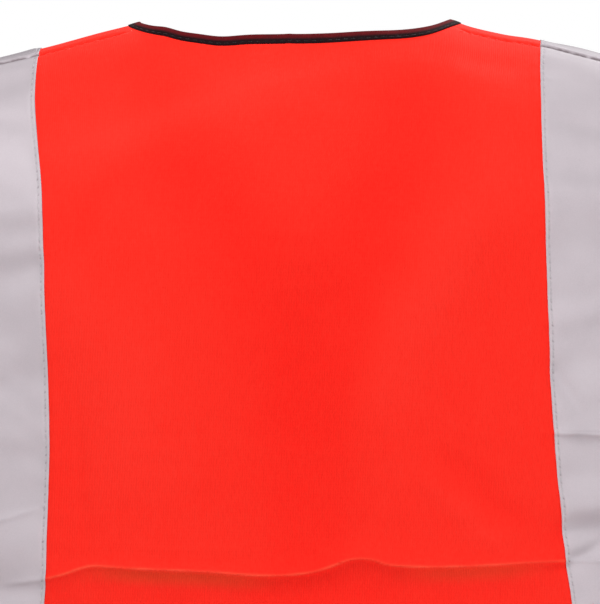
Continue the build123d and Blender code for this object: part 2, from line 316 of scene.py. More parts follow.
# Folds as (height, width, sharpness, points in p and q). Sharpness 0 is a round fold, 1 a crease.
BACK_FOLDS = [
    (2.4, 12.0, 1.0, PACKING_CREASE),
    (0.9, 2.6, 1.0, PACKING_CREASE),
    (-1.1, 14.0, 0.0, [(110, 359), (60, 357), (0, 355), (-60, 359), (-130, 363)]),
    (-2.6, 26.0, 0.0, [(80, 647), (62, 607), (30, 552), (6, 497), (0, 427), (0, 352)]),
    (-2.4, 24.0, 0.0, [(-84, 659), (-64, 607), (-34, 556), (-10, 487), (-4, 437)]),
    (1.4, 22.0, 0.1, [(146, 603), (90, 619), (30, 639), (-20, 647)]),
    (1.1, 9.0, 0.3, [(150, 603), (104, 607), (60, 627), (0, 644), (-30, 649)]),
    (-0.8, 8.0, 0.2, [(72, 600), (104, 590), (116, 570), (122, 545)]),
    (0.6, 4.0, 0.5, [(-103, 480), (-102, 442)]),
    (-0.4, 3.0, 0.4, [(124, 466), (123, 388)]),
    (1.4, 18.0, 0.1, [(-130, 619), (-100, 567), (-60, 507), (-40, 447)]),
    (-0.9, 9.0, 0.3, [(-72, 443), (-98, 415), (-126, 391)]),
    (0.8, 8.0, 0.3, [(-60, 427), (-90, 399), (-112, 379)]),
    (0.5, 4.0, 0.6, [(-40, 379), (-26, 383)]),
    (0.5, 4.0, 0.6, [(-14, 378), (-4, 385)]),
    (-0.35, 3.0, 0.4, [(58, 453), (57, 437)]),
    (-0.35, 3.0, 0.4, [(5, 450), (4, 437)]),
    (-0.4, 4.0, 0.3, [(-53, 401), (-54, 381)]),
    (0.35, 5.0, 0.4, [(98, 384), (60, 383), (30, 384)]),
    (0.35, 5.0, 0.4, [(-78, 389), (-110, 388), (-140, 390)]),
    (1.2, 15.0, 0.2, [(-56, 662), (-96, 649), (-146, 630)]),
    (1.8, 30.0, 0.0, [(135, 547), (100, 477), (90, 407)]),
    (1.4, 6.0, 0.8, [(230, 182), (120, 176), (30, 181), (-60, 177), (-140, 183), (-230, 178)]),
    (-2.2, 30.0, 0.0, [(160, 250), (110, 180), (90, 60), (95, 0)]),
    (-2.6, 34.0, 0.0, [(-120, 260), (-80, 170), (-60, 60), (-62, 0)]),
    (-0.7, 6.0, 0.1, [(-142, 623), (-165, 619), (-196, 613)]),
    (0.7, 7.0, 0.2, [(-140, 585), (-170, 581), (-196, 585)]),
    (2.0, 3.2, 1.0, [(-136, 447), (-170, 445.5), (-208, 443)]),
    (-1.3, 5.0, 0.2, [(-140, 486), (-147, 474), (-160, 455)]),
    (-3.0, 8.0, 0.1, [(-138, 388), (-160, 393), (-210, 403)]),
    (-2.6, 5.0, 0.2, [(-138, 371), (-152, 376), (-170, 386), (-210, 404)]),
    (-0.7, 7.0, 0.1, [(139, 623), (165, 625), (196, 619)]),
    (0.9, 9.0, 0.2, [(140, 581), (165, 571), (196, 563)]),
    (1.0, 3.0, 1.0, [(150, 406), (160, 403), (172, 399), (198, 393)]),
    (-0.8, 8.0, 0.2, [(142, 359), (165, 361), (196, 357)]),
]
FRONT_FOLDS = [
    (2.3, 20.0, 0.1, [(152, 650), (124, 560), (92, 460), (78, 385)]),
    (-1.9, 18.0, 0.0, [(112, 640), (96, 560), (66, 470)]),
    (1.5, 11.0, 0.3, [(212, 500), (168, 440), (112, 404)]),
    (-1.5, 13.0, 0.1, [(218, 470), (172, 404), (104, 362)]),
    (1.2, 5.0, 1.0, [(26, 364), (90, 362), (170, 366), (246, 363)]),
    (1.1, 5.0, 0.9, [(26, 180), (110, 178), (200, 183), (250, 180)]),
    (2.3, 26.0, 0.0, [(132, 270), (104, 180), (98, 10)]),
    (-2.1, 24.0, 0.0, [(66, 270), (60, 150), (64, 0)]),
    (1.9, 22.0, 0.1, [(206, 270), (190, 150), (196, 0)]),
    (2.0, 22.0, 0.1, [(-146, 652), (-128, 580), (-84, 470), (-70, 400)]),
    (-2.2, 17.0, 0.0, [(-108, 646), (-88, 540), (-72, 460)]),
    (1.6, 12.0, 0.3, [(-214, 480), (-160, 432), (-100, 392)]),
    (-1.3, 12.0, 0.1, [(-216, 450), (-168, 396), (-120, 366)]),
    (1.2, 5.0, 1.0, [(-26, 367), (-84, 364), (-160, 366), (-246, 370)]),
    (1.1, 5.0, 0.9, [(-26, 183), (-100, 179), (-180, 182), (-250, 178)]),
    (2.5, 28.0, 0.0, [(-118, 268), (-112, 170), (-122, 6)]),
    (-2.4, 25.0, 0.0, [(-176, 270), (-168, 140), (-160, 0)]),
    (1.5, 20.0, 0.0, [(-60, 270), (-56, 150), (-50, 0)]),
]
FOLDS = {BACK: BACK_FOLDS, FRONT: FRONT_FOLDS}
FOLD_GAIN = {BACK: 1.6, FRONT: 2.8}


def fold_sum(folds, p, q):
    total = np.zeros(p.shape)
    for height, width, sharpness, points in folds:
        path = smooth_path(points)
        low, high = path.min(0) - 3 * width, path.max(0) + 3 * width
        near = (p > low[0]) & (p < high[0]) & (q > low[1]) & (q < high[1])
        distance, along = path_distance(p[near], q[near], path)
        round_fold = bell(distance, 0, width)
        crease = np.exp(-np.abs(distance) / (0.5 * width))
        fade = np.sin(np.pi * np.clip(along * 0.96 + 0.02, 0, 1)) ** 0.5
        total[near] += height * fade * ((1 - sharpness) * round_fold + sharpness * crease)
    return total


def crease_light_and_shade(p, q):
    """Painted light at the packing crease, from 0 to 1: a painted highlight along its ridge, and painted
    shadow in stretches of the band just below it.
    """
    below, _ = path_distance(p, q, smooth_path(PACKING_CREASE))
    # how strong the painted highlight is, changing along the crease
    wear_and_highlight = 0.75 + 0.25 * np.sin(p / 4.7 + 2 * np.sin(p / 13))
    edge = wear_and_highlight * bell(below, 0, 0.65)
    # the stretches where the painted shadow lies below the crease
    shaded_stretch = np.exp(-(((p - 72) / 46) ** 4)) + 0.7 * np.exp(-(((p + 92) / 34) ** 4))
    shade_below = shaded_stretch * step(below, 0, 1.5) * step(below, 12, 3)
    return edge * step(np.abs(p), 172, 150), shade_below


def slow_waves(x, y, z):
    """Gentle unevenness, the same from both sides of a seam."""
    total = np.sin(x / 61 + 0.7 + 0.5 * np.sin(z / 88)) * np.sin(z / 97 + y / 120 + 1.9)
    total += 0.6 * np.sin(x / 34 - z / 76 + 2.4 + 0.4 * np.sin(y / 40)) * np.sin(z / 53 + x / 140)
    total += 0.35 * np.sin(z / 29 + x / 67 + 0.4) * np.sin(x / 41 - z / 210 + 1.2)
    return total


def fine_wrinkles(x, y, z):
    """Small handling marks, in patches."""
    bend_x = x + 9 * np.sin(z / 23 + 0.6) + 5 * np.sin(z / 11 + x / 31)
    bend_z = z + 8 * np.sin(x / 19 + 1.1) + 5 * np.sin(x / 9.5 - z / 27 + y / 21)
    marks = np.sin(bend_x / 8.3 + bend_z / 6.1) * np.sin(bend_x / 12.7 - bend_z / 5.2 + 0.8)
    patch = 0.5 + 0.5 * np.sin(x / 37 + 1.7) * np.sin(z / 43 + y / 60)
    return marks * patch


def brace_x(q, edge):
    """Where a brace's inner (edge 0) or outer (edge 1) side is, at a height."""
    flare = (BRACE_FLARE + 1) * step(q, 470, BRACE_FOOT) + 1.5 * step(q, 374, 346)
    return BRACE_INNER_X - 0.5 + flare + edge * TAPE_WIDTH


def seam_pucker(distance, along, height=0.5):
    """A soft ridge a few millimetres outside a sewn edge, with small gathers across it."""
    ridge = bell(distance, 3.2, 1.5) - 0.5 * bell(distance, 0.6, 1.0)
    gathers = np.sin(along / 1.9 + 2.2 * np.sin(along / 17)) * bell(np.maximum(distance, 0), 0, 6.0)
    return height * ridge * (0.8 + 0.2 * np.sin(along / 23)) + 0.1 * gathers * step(distance, -2, 0)


def brace_wrinkles(p, q):
    """Soft creases across the braces, a little slanted, where the stiffer tape has buckled."""
    bent = q + 0.16 * p + 4 * np.sin(p / 17 + q / 31)
    total = 0.85 * np.sin(bent / 4.3 + 1.7 * np.sin(bent / 19)) * (0.55 + 0.45 * np.sin(bent / 23 + p / 60))
    total += 1.0 * np.sin(bent / 9.1 + p / 40 + 2.0)
    inner, outer = brace_x(q, 0), brace_x(q, 1)
    on_tape = step(np.abs(p), inner - 2, inner + 5) * step(np.abs(p), outer + 2, outer - 5)
    return total * on_tape * step(q, BRACE_FOOT, BRACE_FOOT + 12)


FLUTE_HEIGHT = 4.6  # of the upright waves towards the hem
FLANK_HEIGHT = 5.0  # of the slack waves below the armholes
WAVE_HEIGHT, WRINKLE_HEIGHT = 1.7, 0.22
SIDE_GROOVE, SHOULDER_GROOVE = 1.2, 1.1  # how deep the cloth is drawn in at its seams


def fold_height(face, p, q, point):
    """How far the cloth stands out from the smooth form."""
    x, y, z = point[..., 0], point[..., 1], point[..., 2]
    around = p if face == BACK else np.sign(p) * (2 * SIDE_P - np.abs(p))
    low = step(q, 420, 60)
    flutes = np.sin(around / 29.0 + 0.8 * np.sin(around / 83 + 0.5) + 0.4 * np.sin(z / 70))
    flutes += 0.6 * np.sin(around / 17.7 + 1.3 + np.sin(around / 51))
    total = FLUTE_HEIGHT * low * flutes
    from_side = np.abs(np.abs(p) - SIDE_P)
    flank = bell(from_side, 0, 70) * step(q, 410, 330) * step(q, 20, 120)
    total += flank * FLANK_HEIGHT * np.sin(q / 25 + np.abs(around) / 55 + 1.3 * np.sin(around / 37))
    total += WAVE_HEIGHT * slow_waves(x, y, z) + WRINKLE_HEIGHT * fine_wrinkles(x, y, z)
    total += brace_wrinkles(p, q) * step(seam_q(face, p) - q, 5, 35)
    total += FOLD_GAIN[face] * fold_sum(FOLDS[face], p, q) * step(q, 668, 640)
    for edge, sign in ((0, -1), (1, 1)):
        distance = sign * (np.abs(p) - brace_x(q, edge))
        total += seam_pucker(distance, q) * step(q, BRACE_FOOT - 4, BRACE_FOOT + 6) * step(q, 680, 650)
    for low_z, high_z in BANDS.values():
        total += seam_pucker(q - high_z, around) + seam_pucker(low_z - q, around)
    total -= SIDE_GROOVE * bell(from_side, 0, 2.2) * step(q, ARMHOLE_Z + 12, ARMHOLE_Z)
    below_seam = face * (seam_q(face, p) - q)
    groove = -SHOULDER_GROOVE * bell(below_seam, 0, 1.2)
    groove += 0.35 * bell(below_seam, -2.6, 1.8) + 0.2 * bell(below_seam, 4.2, 1.6)
    unbound = step(np.abs(p), NECK_X + 3, NECK_X + 14)
    total += groove * (unbound * step(np.abs(p), SHOULDER_TIP_X - 3, SHOULDER_TIP_X - 14))
    if face == FRONT:
        total *= step(np.abs(p), 25, 80)
    return total


def sway(point):
    """Small shifts: the back hangs a little askew, and the neck edge and right shoulder aren't quite even."""
    x, y, z = point[..., 0], point[..., 1], point[..., 2]
    behind = step(y, 0, 60)
    top = step(z, 600, 660)
    shift = np.zeros_like(point)
    shift[..., 0] = -0.028 * (560 - z) * behind * step(z, 60, 330)
    shift[..., 0] += 4.4 * step(x, 105, 140) * step(z, 570, 650) - 1.1 * step(x, -100, -140) * top
    tips = 3.5 * bell(x, -92, 20) - 5.0 * bell(x, 92, 20)
    shift[..., 0] += tips * step(z, 635, 670)
    neck = 1.5 * bell(x, -45, 26) - 1.3 * bell(x, 38, 12)
    shift[..., 2] = neck * top * step(y, 10, 30)
    beside = 1.3 * bell(x, -94, 8) + 1.4 * bell(x, 72, 9)
    shift[..., 2] += (2.6 * step(x, -112, -150) - 1.2 * bell(x, 138, 25) + beside) * top
    return shift


def ridge_q(p):
    core = np.clip(p, -SHOULDER_CORE_X, SHOULDER_CORE_X)
    return core_z(core) + RIDGE_RADIUS * math.pi / 2


def seam_q(face, p):
    """The shoulder seam, which lies behind the ridge, in the coordinates of either face."""
    turn = math.acos(1 - SEAM_DROP / RIDGE_RADIUS)
    return ridge_q(p) - face * RIDGE_RADIUS * turn


HEIGHT_STEP = 1.25
HEIGHT = {}
for face in (BACK, FRONT):
    size_p, size_q = (2 * len(lines) - 1 for lines in (FORM_P, FORM_Q))
    fine_p = FORM_P[0] + HEIGHT_STEP * np.arange(size_p)
    fine_q = FORM_Q[0] + HEIGHT_STEP * np.arange(size_q)
    grid_p, grid_q = crossed(fine_p, fine_q)
    HEIGHT[face] = fold_height(face, grid_p, grid_q, form(face, grid_p, grid_q)[0])


def surface(face, p, q, out=FABRIC):
    """Points on the folded cloth, a distance out from its inner face, and the form's normals there."""
    p, q = np.broadcast_arrays(np.asarray(p, float), np.asarray(q, float))
    point, normal = form(face, p, q)
    height = interpolated(HEIGHT[face], HEIGHT_STEP, p, q) + out
    return point + normal * height[..., None] + sway(point), normal


def lie(p, w, out=FABRIC):
    """The same for (p, w). w is the distance over the shoulder: below 0 is behind the ridge."""
    p, w, out = (np.array(v) for v in np.broadcast_arrays(np.asarray(p, float), w, out))
    points, normals = np.empty(p.shape + (3,)), np.empty(p.shape + (3,))
    for face, chosen in ((BACK, w <= 0), (FRONT, w > 0)):
        if chosen.any():
            q = ridge_q(p[chosen]) + face * w[chosen]
            points[chosen], normals[chosen] = surface(face, p[chosen], q, out[chosen])
    return points, normals


def over(face, p, q):
    """The distance over the shoulder of a place on a face."""
    return face * (q - ridge_q(p))


# ---------------------------------------------------------------- edges of the pattern

BACK_NECK_FLATNESS = 3.6
V_LEAN = 0.34  # how far each side of the V moves out for each unit up
V_COSINE = 0.946  # turns a distance along x into one square to the V's edge


def neck_room(face, x, z):
    """How far inside the cloth a point is from the neck edge."""
    if face == BACK:
        return NECK_Z - BACK_NECK_DROP * (1 - np.abs(x / NECK_X) ** BACK_NECK_FLATNESS) - z
    t = (z - V_POINT_Z) / (NECK_Z - V_POINT_Z)
    edge = NECK_X * t - V_BULGE * t * (1 - t)
    return (np.abs(x) - np.where(z > NECK_Z, NECK_X + (z - NECK_Z) * V_LEAN, edge)) * V_COSINE


def armhole_room(x, z):
    """How far inside the cloth a point is from the armhole's edge."""
    drop = ARMHOLE_WAIST_Z - ARMHOLE_Z
    low = ((HALF_WIDTH - ARMHOLE_X) ** 2 + drop**2) / (2 * (HALF_WIDTH - ARMHOLE_X))
    rise = RIDGE_Z - SHOULDER_TIP_X * SLOPE + 5 - ARMHOLE_WAIST_Z
    high = ((SHOULDER_TIP_X - ARMHOLE_X) ** 2 + rise**2) / (2 * (SHOULDER_TIP_X - ARMHOLE_X))
    radius = np.where(z < ARMHOLE_WAIST_Z, low, high)
    dz = np.clip(z - ARMHOLE_WAIST_Z, -low * 0.9, high * 0.9)
    edge = ARMHOLE_X + radius - np.sqrt(radius**2 - dz**2)
    below = (ARMHOLE_Z + 1 - z) * 0.8 + (HALF_WIDTH - np.abs(x)) * 0.2
    return np.maximum(edge - np.abs(x), below)


def spread(low, high, size, fine=()):
    """Grid lines between two values, closer together in the fine zones, given as (low, high, size)."""
    lines = [low]
    while lines[-1] < high - 1e-6:
        here = lines[-1]
        near = [s for a, b, s in fine if a - size <= here <= b]
        lines.append(min(here + (min(near) if near else size), high))
    return np.array(lines)


# ---------------------------------------------------------------- meshes

def new_mesh(name, vertices, faces, material, uv=None):
    """A mesh object in metres. faces is an array or a list of lists, and uv is in millimetres."""
    mesh = bpy.data.meshes.new(name)
    vertices = np.asarray(vertices, float).reshape(-1, 3) / 1000
    if isinstance(faces, np.ndarray):
        sizes = np.full(len(faces), faces.shape[1])
        loops = faces.ravel()
    else:
        sizes = np.array([len(f) for f in faces])
        loops = np.concatenate([np.asarray(f) for f in faces])
    mesh.vertices.add(len(vertices))
    mesh.vertices.foreach_set("co", vertices.astype(np.float32).ravel())
    mesh.loops.add(len(loops))
    mesh.loops.foreach_set("vertex_index", loops.astype(np.int32))
    mesh.polygons.add(len(sizes))
    mesh.polygons.foreach_set("loop_start", np.concatenate([[0], np.cumsum(sizes)[:-1]]).astype(np.int32))
    mesh.polygons.foreach_set("loop_total", sizes.astype(np.int32))
    mesh.polygons.foreach_set("use_smooth", np.ones(len(sizes), bool))
    mesh.update(calc_edges=True)
    if uv is not None:
        layer = mesh.uv_layers.new(name="pattern")
        layer.data.foreach_set("uv", (np.asarray(uv, float)[loops] / 1000).astype(np.float32).ravel())
    mesh.validate()
    obj = bpy.data.objects.new(name, mesh)
    bpy.context.scene.collection.objects.link(obj)
    obj.data.materials.append(material)
    return obj


def mark(piece, name, values):
    """Gives each vertex a value that its material reads."""
    layer = piece.data.attributes.new(name, "FLOAT", "POINT")
    layer.data.foreach_set("value", np.asarray(values, np.float32).ravel())


def thicken(obj, thickness, offset=-1.0):
    """Gives a sheet its thickness, inwards from its outer side."""
    solid = obj.modifiers.new("thickness", "SOLIDIFY")
    solid.thickness = thickness / 1000
    solid.offset = offset
    solid.use_even_offset = False
    solid.use_quality_normals = True
    return obj


def face_outward(piece):
    mesh = bmesh.new()
    mesh.from_mesh(piece.data)
    bmesh.ops.recalc_face_normals(mesh, faces=mesh.faces)
    mesh.to_mesh(piece.data)
    mesh.free()


def cells(index):
    """The four corners of each cell of a grid, from the indices of its points."""
    return np.stack([index[:-1, :-1], index[1:, :-1], index[1:, 1:], index[:-1, 1:]], -1)


def grid_faces(rows, columns):
    return cells(np.arange(rows * columns).reshape(rows, columns)).reshape(-1, 4)


def tube_faces(rows, columns, closed=False):
    """Faces of a bar, from a row of outlines that close on themselves. An open bar gets its end caps."""
    index = np.arange(rows * columns).reshape(rows, columns)
    index = np.concatenate([index, index[:, :1]], axis=1)
    if closed:
        index = np.concatenate([index, index[:1]], axis=0)
    faces = [list(f) for f in cells(index).reshape(-1, 4)]
    if not closed:
        faces += [list(range(columns))[::-1], list(range((rows - 1) * columns, rows * columns))]
    return faces


def thread_rings(centre, sideways, upward, radius):
    """Rings of points round the centre line of a thread."""
    angle = 2 * math.pi * np.arange(THREAD_SIDES) / THREAD_SIDES
    ring = np.cos(angle)[:, None] * sideways[..., None, :] + np.sin(angle)[:, None] * upward[..., None, :]
    return centre[..., None, :] + radius * ring, angle


def thread_walls(index):
    """Faces between neighbouring rings, from the indices of their points."""
    turned = np.roll(index, -1, axis=1)
    return np.stack([index[:-1], turned[:-1], turned[1:], index[1:]], -1).reshape(-1, 4)


def sheet(name, face, p, q, out, thickness, material):
    """A sheet over arrays of places, p along the first axis and q along the second."""
    points, _ = surface(face, p, q, out)
    faces = grid_faces(*p.shape)
    if face == BACK:
        faces = faces[:, ::-1]
    return thicken(new_mesh(name, points, faces, material, column(p, q)), thickness)


def cut_grid(p_lines, q_lines, room):
    """Cells of a grid where room is positive, cut along room = 0. Returns places and faces."""
    rows, columns = len(p_lines), len(q_lines)
    keep = room >= 0
    corner_sum = keep[:-1, :-1].astype(int) + keep[1:, :-1] + keep[1:, 1:] + keep[:-1, 1:]
    index = np.arange(rows * columns).reshape(rows, columns)
    quads = cells(index)
    whole = quads[corner_sum == 4]
    grid_p, grid_q = crossed(p_lines, q_lines)
    places = list(zip(grid_p.ravel(), grid_q.ravel()))
    flat_room, flat_keep = room.ravel(), keep.ravel()
    crossings, faces = {}, [list(f) for f in whole]
    for quad in quads[(corner_sum > 0) & (corner_sum < 4)]:
        polygon = []
        for a, b in zip(quad, np.roll(quad, -1)):
            if flat_keep[a]:
                polygon.append(int(a))
            if flat_keep[a] != flat_keep[b]:
                key = (min(a, b), max(a, b))
                if key not in crossings:
                    t = flat_room[key[0]] / (flat_room[key[0]] - flat_room[key[1]])
                    first, second = np.array(places[key[0]]), np.array(places[key[1]])
                    crossings[key] = len(places)
                    places.append(tuple(first + (second - first) * np.clip(t, 0.02, 0.98)))
                polygon.append(crossings[key])
        if len(polygon) > 2:
            faces.append(polygon)
    used = np.unique(np.concatenate([np.asarray(f) for f in faces]))
    new_index = np.full(len(places), -1)
    new_index[used] = np.arange(len(used))
    return np.array(places)[used], [list(new_index[f]) for f in faces]


# ---------------------------------------------------------------- materials

def shader(name, **values):
    """A material and its shader node, with some of its inputs set."""
    material = bpy.data.materials.new(name)
    material.use_nodes = True
    base = material.node_tree.nodes["Principled BSDF"]
    for key, value in values.items():
        socket = base.inputs[key.replace("_", " ").title().replace("Ior", "IOR")]
        socket.default_value = (*value, 1) if isinstance(value, tuple) else value
    return material, base


def node(base, kind, inputs=None, **settings):
    """A new node beside the shader. Inputs are values or other nodes' outputs."""
    tree = base.id_data
    new = tree.nodes.new("ShaderNode" + kind)
    for key, value in settings.items():
        setattr(new, key, value)
    for key, value in (inputs or {}).items():
        if isinstance(value, bpy.types.NodeSocket):
            tree.links.new(value, new.inputs[key])
        else:
            new.inputs[key].default_value = value
    return new


def maths(base, operation, first, second=0.0, third=0.0):
    return node(base, "Math", {0: first, 1: second, 2: third}, operation=operation).outputs[0]


def scaled(base, value, factor, offset):
    return maths(base, "MULTIPLY_ADD", value, factor, offset)


def pattern(base):
    """The two pattern coordinates of a piece, in metres."""
    uv = node(base, "UVMap", uv_map="pattern").outputs[0]
    parts = node(base, "SeparateXYZ", {0: uv})
    return parts.outputs[0], parts.outputs[1]


def ripple(base, value, pitch, phase=0.0):
    """A wave from -1 to 1 that repeats every pitch millimetres."""
    turns = scaled(base, value, 2000 * math.pi / pitch, phase)
    return maths(base, "SINE", turns)


def noise(base, size, detail=2.0):
    """Noise with features of a size in millimetres, the same at every pose."""
    place = node(base, "TexCoord").outputs["Object"]
    inputs = {"Vector": place, "Scale": 1000 / size, "Detail": detail}
    return node(base, "TexNoise", inputs).outputs[0]


def ramp(base, value, colours):
    """A colour ramp through evenly spaced colours."""
    new = node(base, "ValToRGB", {0: value})
    elements = new.color_ramp.elements
    while len(elements) < len(colours):
        elements.new(0.5)
    for k, colour in enumerate(colours):
        elements[k].position = k / (len(colours) - 1)
        elements[k].color = (*colour, 1)
    return new.outputs[0]


def marked(base, name):
    """The value that mark() gave each vertex."""
    return node(base, "Attribute", attribute_name=name).outputs["Fac"]


def mixed(base, share, first, second):
    """A colour that goes from the first to the second as share goes from 0 to 1."""
    inputs = {0: share, 6: first, 7: (*second, 1)}
    return node(base, "Mix", inputs, data_type="RGBA").outputs[2]


def link(base, socket, name):
    base.id_data.links.new(socket, base.inputs[name])


def bump(base, height, depth, strength=1.0):
    """Surface relief with a depth in millimetres."""
    values = {"Height": height, "Distance": depth / 1000, "Strength": strength}
    link(base, node(base, "Bump", values).outputs[0], "Normal")


def fluorescent_knit():
    """Warp-knitted polyester, glowing red-orange: upright wales with loops, with painted shade in the hollows
    of the folds and between the loops, painted highlight on the fold ridges, and a painted highlight and
    painted shadow along the packing crease.
    """
    material, base = shader("fluorescent_knit", roughness=0.8, specular_ior_level=0.12, sheen_weight=0.08,
                            sheen_roughness=0.5, sheen_tint=(1.0, 0.2, 0.15),
                            emission_color=(1.0, 0.012, 0.006), emission_strength=0.18)
    across, along = pattern(base)
    wales = ripple(base, across, 0.95)
    slant = scaled(base, wales, 0.00012, along)
    height = scaled(base, ripple(base, slant, 0.8), 0.45, wales)
    patches = scaled(base, noise(base, 30.0, 3.0), 0.3, 0.02)
    # painted light and shade: lighter on the ridges of the soft folds, darker in their hollows
    tone = scaled(base, marked(base, "relief"), 0.42, patches)
    tone = scaled(base, noise(base, 2.2, 4.0), 0.65, tone)
    # painted shade between the knit's loops: darker where the knit is low
    tone = scaled(base, height, 0.03, tone)
    colour = ramp(base, tone, [(0.95, 0.016, 0.009), (0.98, 0.027, 0.015), (1.0, 0.039, 0.024)])
    # painted shadow in the band below the packing crease, and a painted highlight along its ridge
    shade_below = maths(base, "MULTIPLY", marked(base, "crease_shade"), 0.75)
    edge = maths(base, "MULTIPLY", marked(base, "crease_edge"), 0.65)
    colour = mixed(base, shade_below, colour, (0.72, 0.062, 0.02))
    link(base, mixed(base, edge, colour, (1.0, 0.125, 0.062)), "Base Color")
    bump(base, height, 0.07, 0.9)
    return material


def reflective_silver():
    """Glass beads on a silver cloth backing: matt soft grey with a fine sparkle, painted shade where the tape
    turns away from the view, and painted shade in the needle holes and along the seam it dips into.
    """
    material, base = shader("reflective_silver", metallic=0.08, roughness=0.62, specular_ior_level=0.3)
    across, along = pattern(base)
    sparkle = maths(base, "MULTIPLY", noise(base, 0.7, 2.0), 0.4)
    tone = scaled(base, noise(base, 26.0, 3.0), 0.6, sparkle)
    colour = ramp(base, tone, [(0.57, 0.505, 0.545), (0.68, 0.605, 0.65), (0.76, 0.69, 0.735)])
    # painted shade: darker where the tape turns away from the view, standing for the beads sending less light
    # back
    facing = node(base, "LayerWeight", {"Blend": 0.4}).outputs["Facing"]
    shade = mixed(base, facing, colour, (0.26, 0.23, 0.25))
    # painted shade in the needle holes and the seam line, uneven in strength
    uneven = scaled(base, noise(base, 5.0, 1.0), 2.6, -0.75)
    depth = maths(base, "MULTIPLY", marked(base, "needle"), uneven)
    link(base, mixed(base, depth, shade, (0.28, 0.23, 0.25)), "Base Color")
    weave = maths(base, "MULTIPLY", ripple(base, across, 0.62), ripple(base, along, 0.62))
    bump(base, scaled(base, noise(base, 0.35, 1.0), 1.2, weave), 0.018, 0.5)
    return material


def ribbed_binding():
    """Woven polyester binding: near black and ribbed, with a painted dark red highlight along its fold,
    standing for light and reflected orange caught there.
    """
    material, base = shader("ribbed_binding", roughness=0.8, specular_ior_level=0.08)
    along, across = pattern(base)
    ribs = ripple(base, along, 0.9)
    twill = ripple(base, maths(base, "ADD", along, across), 0.55)
    tone = scaled(base, ribs, 0.12, noise(base, 9.0, 3.0))
    black = ramp(base, tone, [(0.008, 0.003, 0.004), (0.016, 0.005, 0.007), (0.028, 0.009, 0.011)])
    # painted highlight: a patchy dark red band along the fold, fading to both sides
    from_fold = maths(base, "ABSOLUTE", maths(base, "SUBTRACT", across, FOLD_GIRTH / 1000))
    fade = {"Value": from_fold, "From Min": 0.0038, "From Max": 0.0054, "To Min": 1.0, "To Max": 0.0}
    at_fold = node(base, "MapRange", fade).outputs[0]
    painted_red_highlight = maths(base, "MULTIPLY", at_fold, scaled(base, noise(base, 4.0, 2.0), 0.7, 0.5))
    link(base, mixed(base, painted_red_highlight, black, (0.15, 0.006, 0.009)), "Base Color")
    bump(base, scaled(base, twill, 0.35, ribs), 0.07, 0.7)
    return material


def twisted_thread(name, dark, light, sheen=0.2):
    """Two-ply thread: stripes wind round it."""
    material, base = shader(name, roughness=0.6, sheen_weight=sheen)
    along, across = pattern(base)
    ply = ripple(base, maths(base, "ADD", along, across), 0.55)
    link(base, ramp(base, scaled(base, ply, 0.4, 0.5), [dark, light]), "Base Color")
    bump(base, ply, 0.05, 0.8)
    return material


def woven_zip_tape():
    """Black herringbone tape."""
    material, base = shader("woven_zip_tape", roughness=0.8, sheen_weight=0.2)
    across, along = pattern(base)
    zigzag = maths(base, "PINGPONG", across, 0.0022)
    twill = ripple(base, maths(base, "ADD", zigzag, along), 0.75)
    tone = scaled(base, twill, 0.3, noise(base, 5.0))
    blacks = [(0.008, 0.008, 0.009), (0.022, 0.021, 0.023), (0.04, 0.038, 0.041)]
    link(base, ramp(base, tone, blacks), "Base Color")
    bump(base, twill, 0.09, 0.8)
    return material


def moulded_plastic():
    """Black acetal of the zip's teeth, stops and retainer: a fine mould grain."""
    material, base = shader("moulded_plastic", roughness=0.36)
    link(base, ramp(base, noise(base, 1.4, 3.0), [(0.012, 0.012, 0.013), (0.03, 0.03, 0.032)]), "Base Color")
    link(base, scaled(base, noise(base, 0.8), 0.3, 0.24), "Roughness")
    bump(base, noise(base, 0.25, 3.0), 0.012, 0.6)
    return material


def enamelled_metal():
    """Black enamel over zinc, with wear down to the metal along the edges."""
    material, base = shader("enamelled_metal", roughness=0.3)
    rounded = node(base, "Bevel", {"Radius": 0.0005}).outputs[0]
    true = node(base, "NewGeometry").outputs["True Normal"]
    likeness = node(base, "VectorMath", {0: rounded, 1: true}, operation="DOT_PRODUCT").outputs["Value"]
    wear_and_highlight = scaled(base, noise(base, 1.1, 4.0), -0.34, likeness)
    wear_and_highlight = maths(base, "LESS_THAN", wear_and_highlight, 0.70)
    link(base, mixed(base, wear_and_highlight, (0.015, 0.015, 0.017, 1), (0.45, 0.44, 0.42)), "Base Color")
    link(base, wear_and_highlight, "Metallic")
    link(base, scaled(base, noise(base, 1.2), 0.25, 0.2), "Roughness")
    bump(base, noise(base, 0.5, 3.0), 0.015, 0.5)
    return material


def satin_label():
    """Blank white woven satin."""
    material, base = shader("satin_label", roughness=0.42, sheen_weight=0.3)
    across, along = pattern(base)
    weft = ripple(base, along, 0.3)
    tone = scaled(base, weft, 0.2, noise(base, 12.0, 3.0))
    link(base, ramp(base, tone, [(0.66, 0.65, 0.63), (0.78, 0.77, 0.75), (0.84, 0.83, 0.81)]), "Base Color")
    bump(base, scaled(base, ripple(base, across, 0.9), 0.3, weft), 0.03, 0.6)
    return material


CLOTH = fluorescent_knit()
SILVER = reflective_silver()
BINDING = ribbed_binding()
ZIP_TAPE = woven_zip_tape()
PLASTIC = moulded_plastic()
METAL = enamelled_metal()
LABEL = satin_label()
ORANGE_THREAD = twisted_thread("orange_thread", (0.72, 0.03, 0.012), (1.0, 0.07, 0.03))
GREY_THREAD = twisted_thread("grey_thread", (0.42, 0.38, 0.40), (0.80, 0.76, 0.78))
BLACK_THREAD = twisted_thread("black_thread", (0.004, 0.003, 0.004), (0.014, 0.009, 0.010), 0.0)


# ---------------------------------------------------------------- bodies


def describe(nodes):
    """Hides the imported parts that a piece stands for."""
    if nodes:
        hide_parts(*nodes)


def carry(piece, body, slot, *nodes):
    """Joins a piece to one body."""
    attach(piece, body)
    describe(nodes)


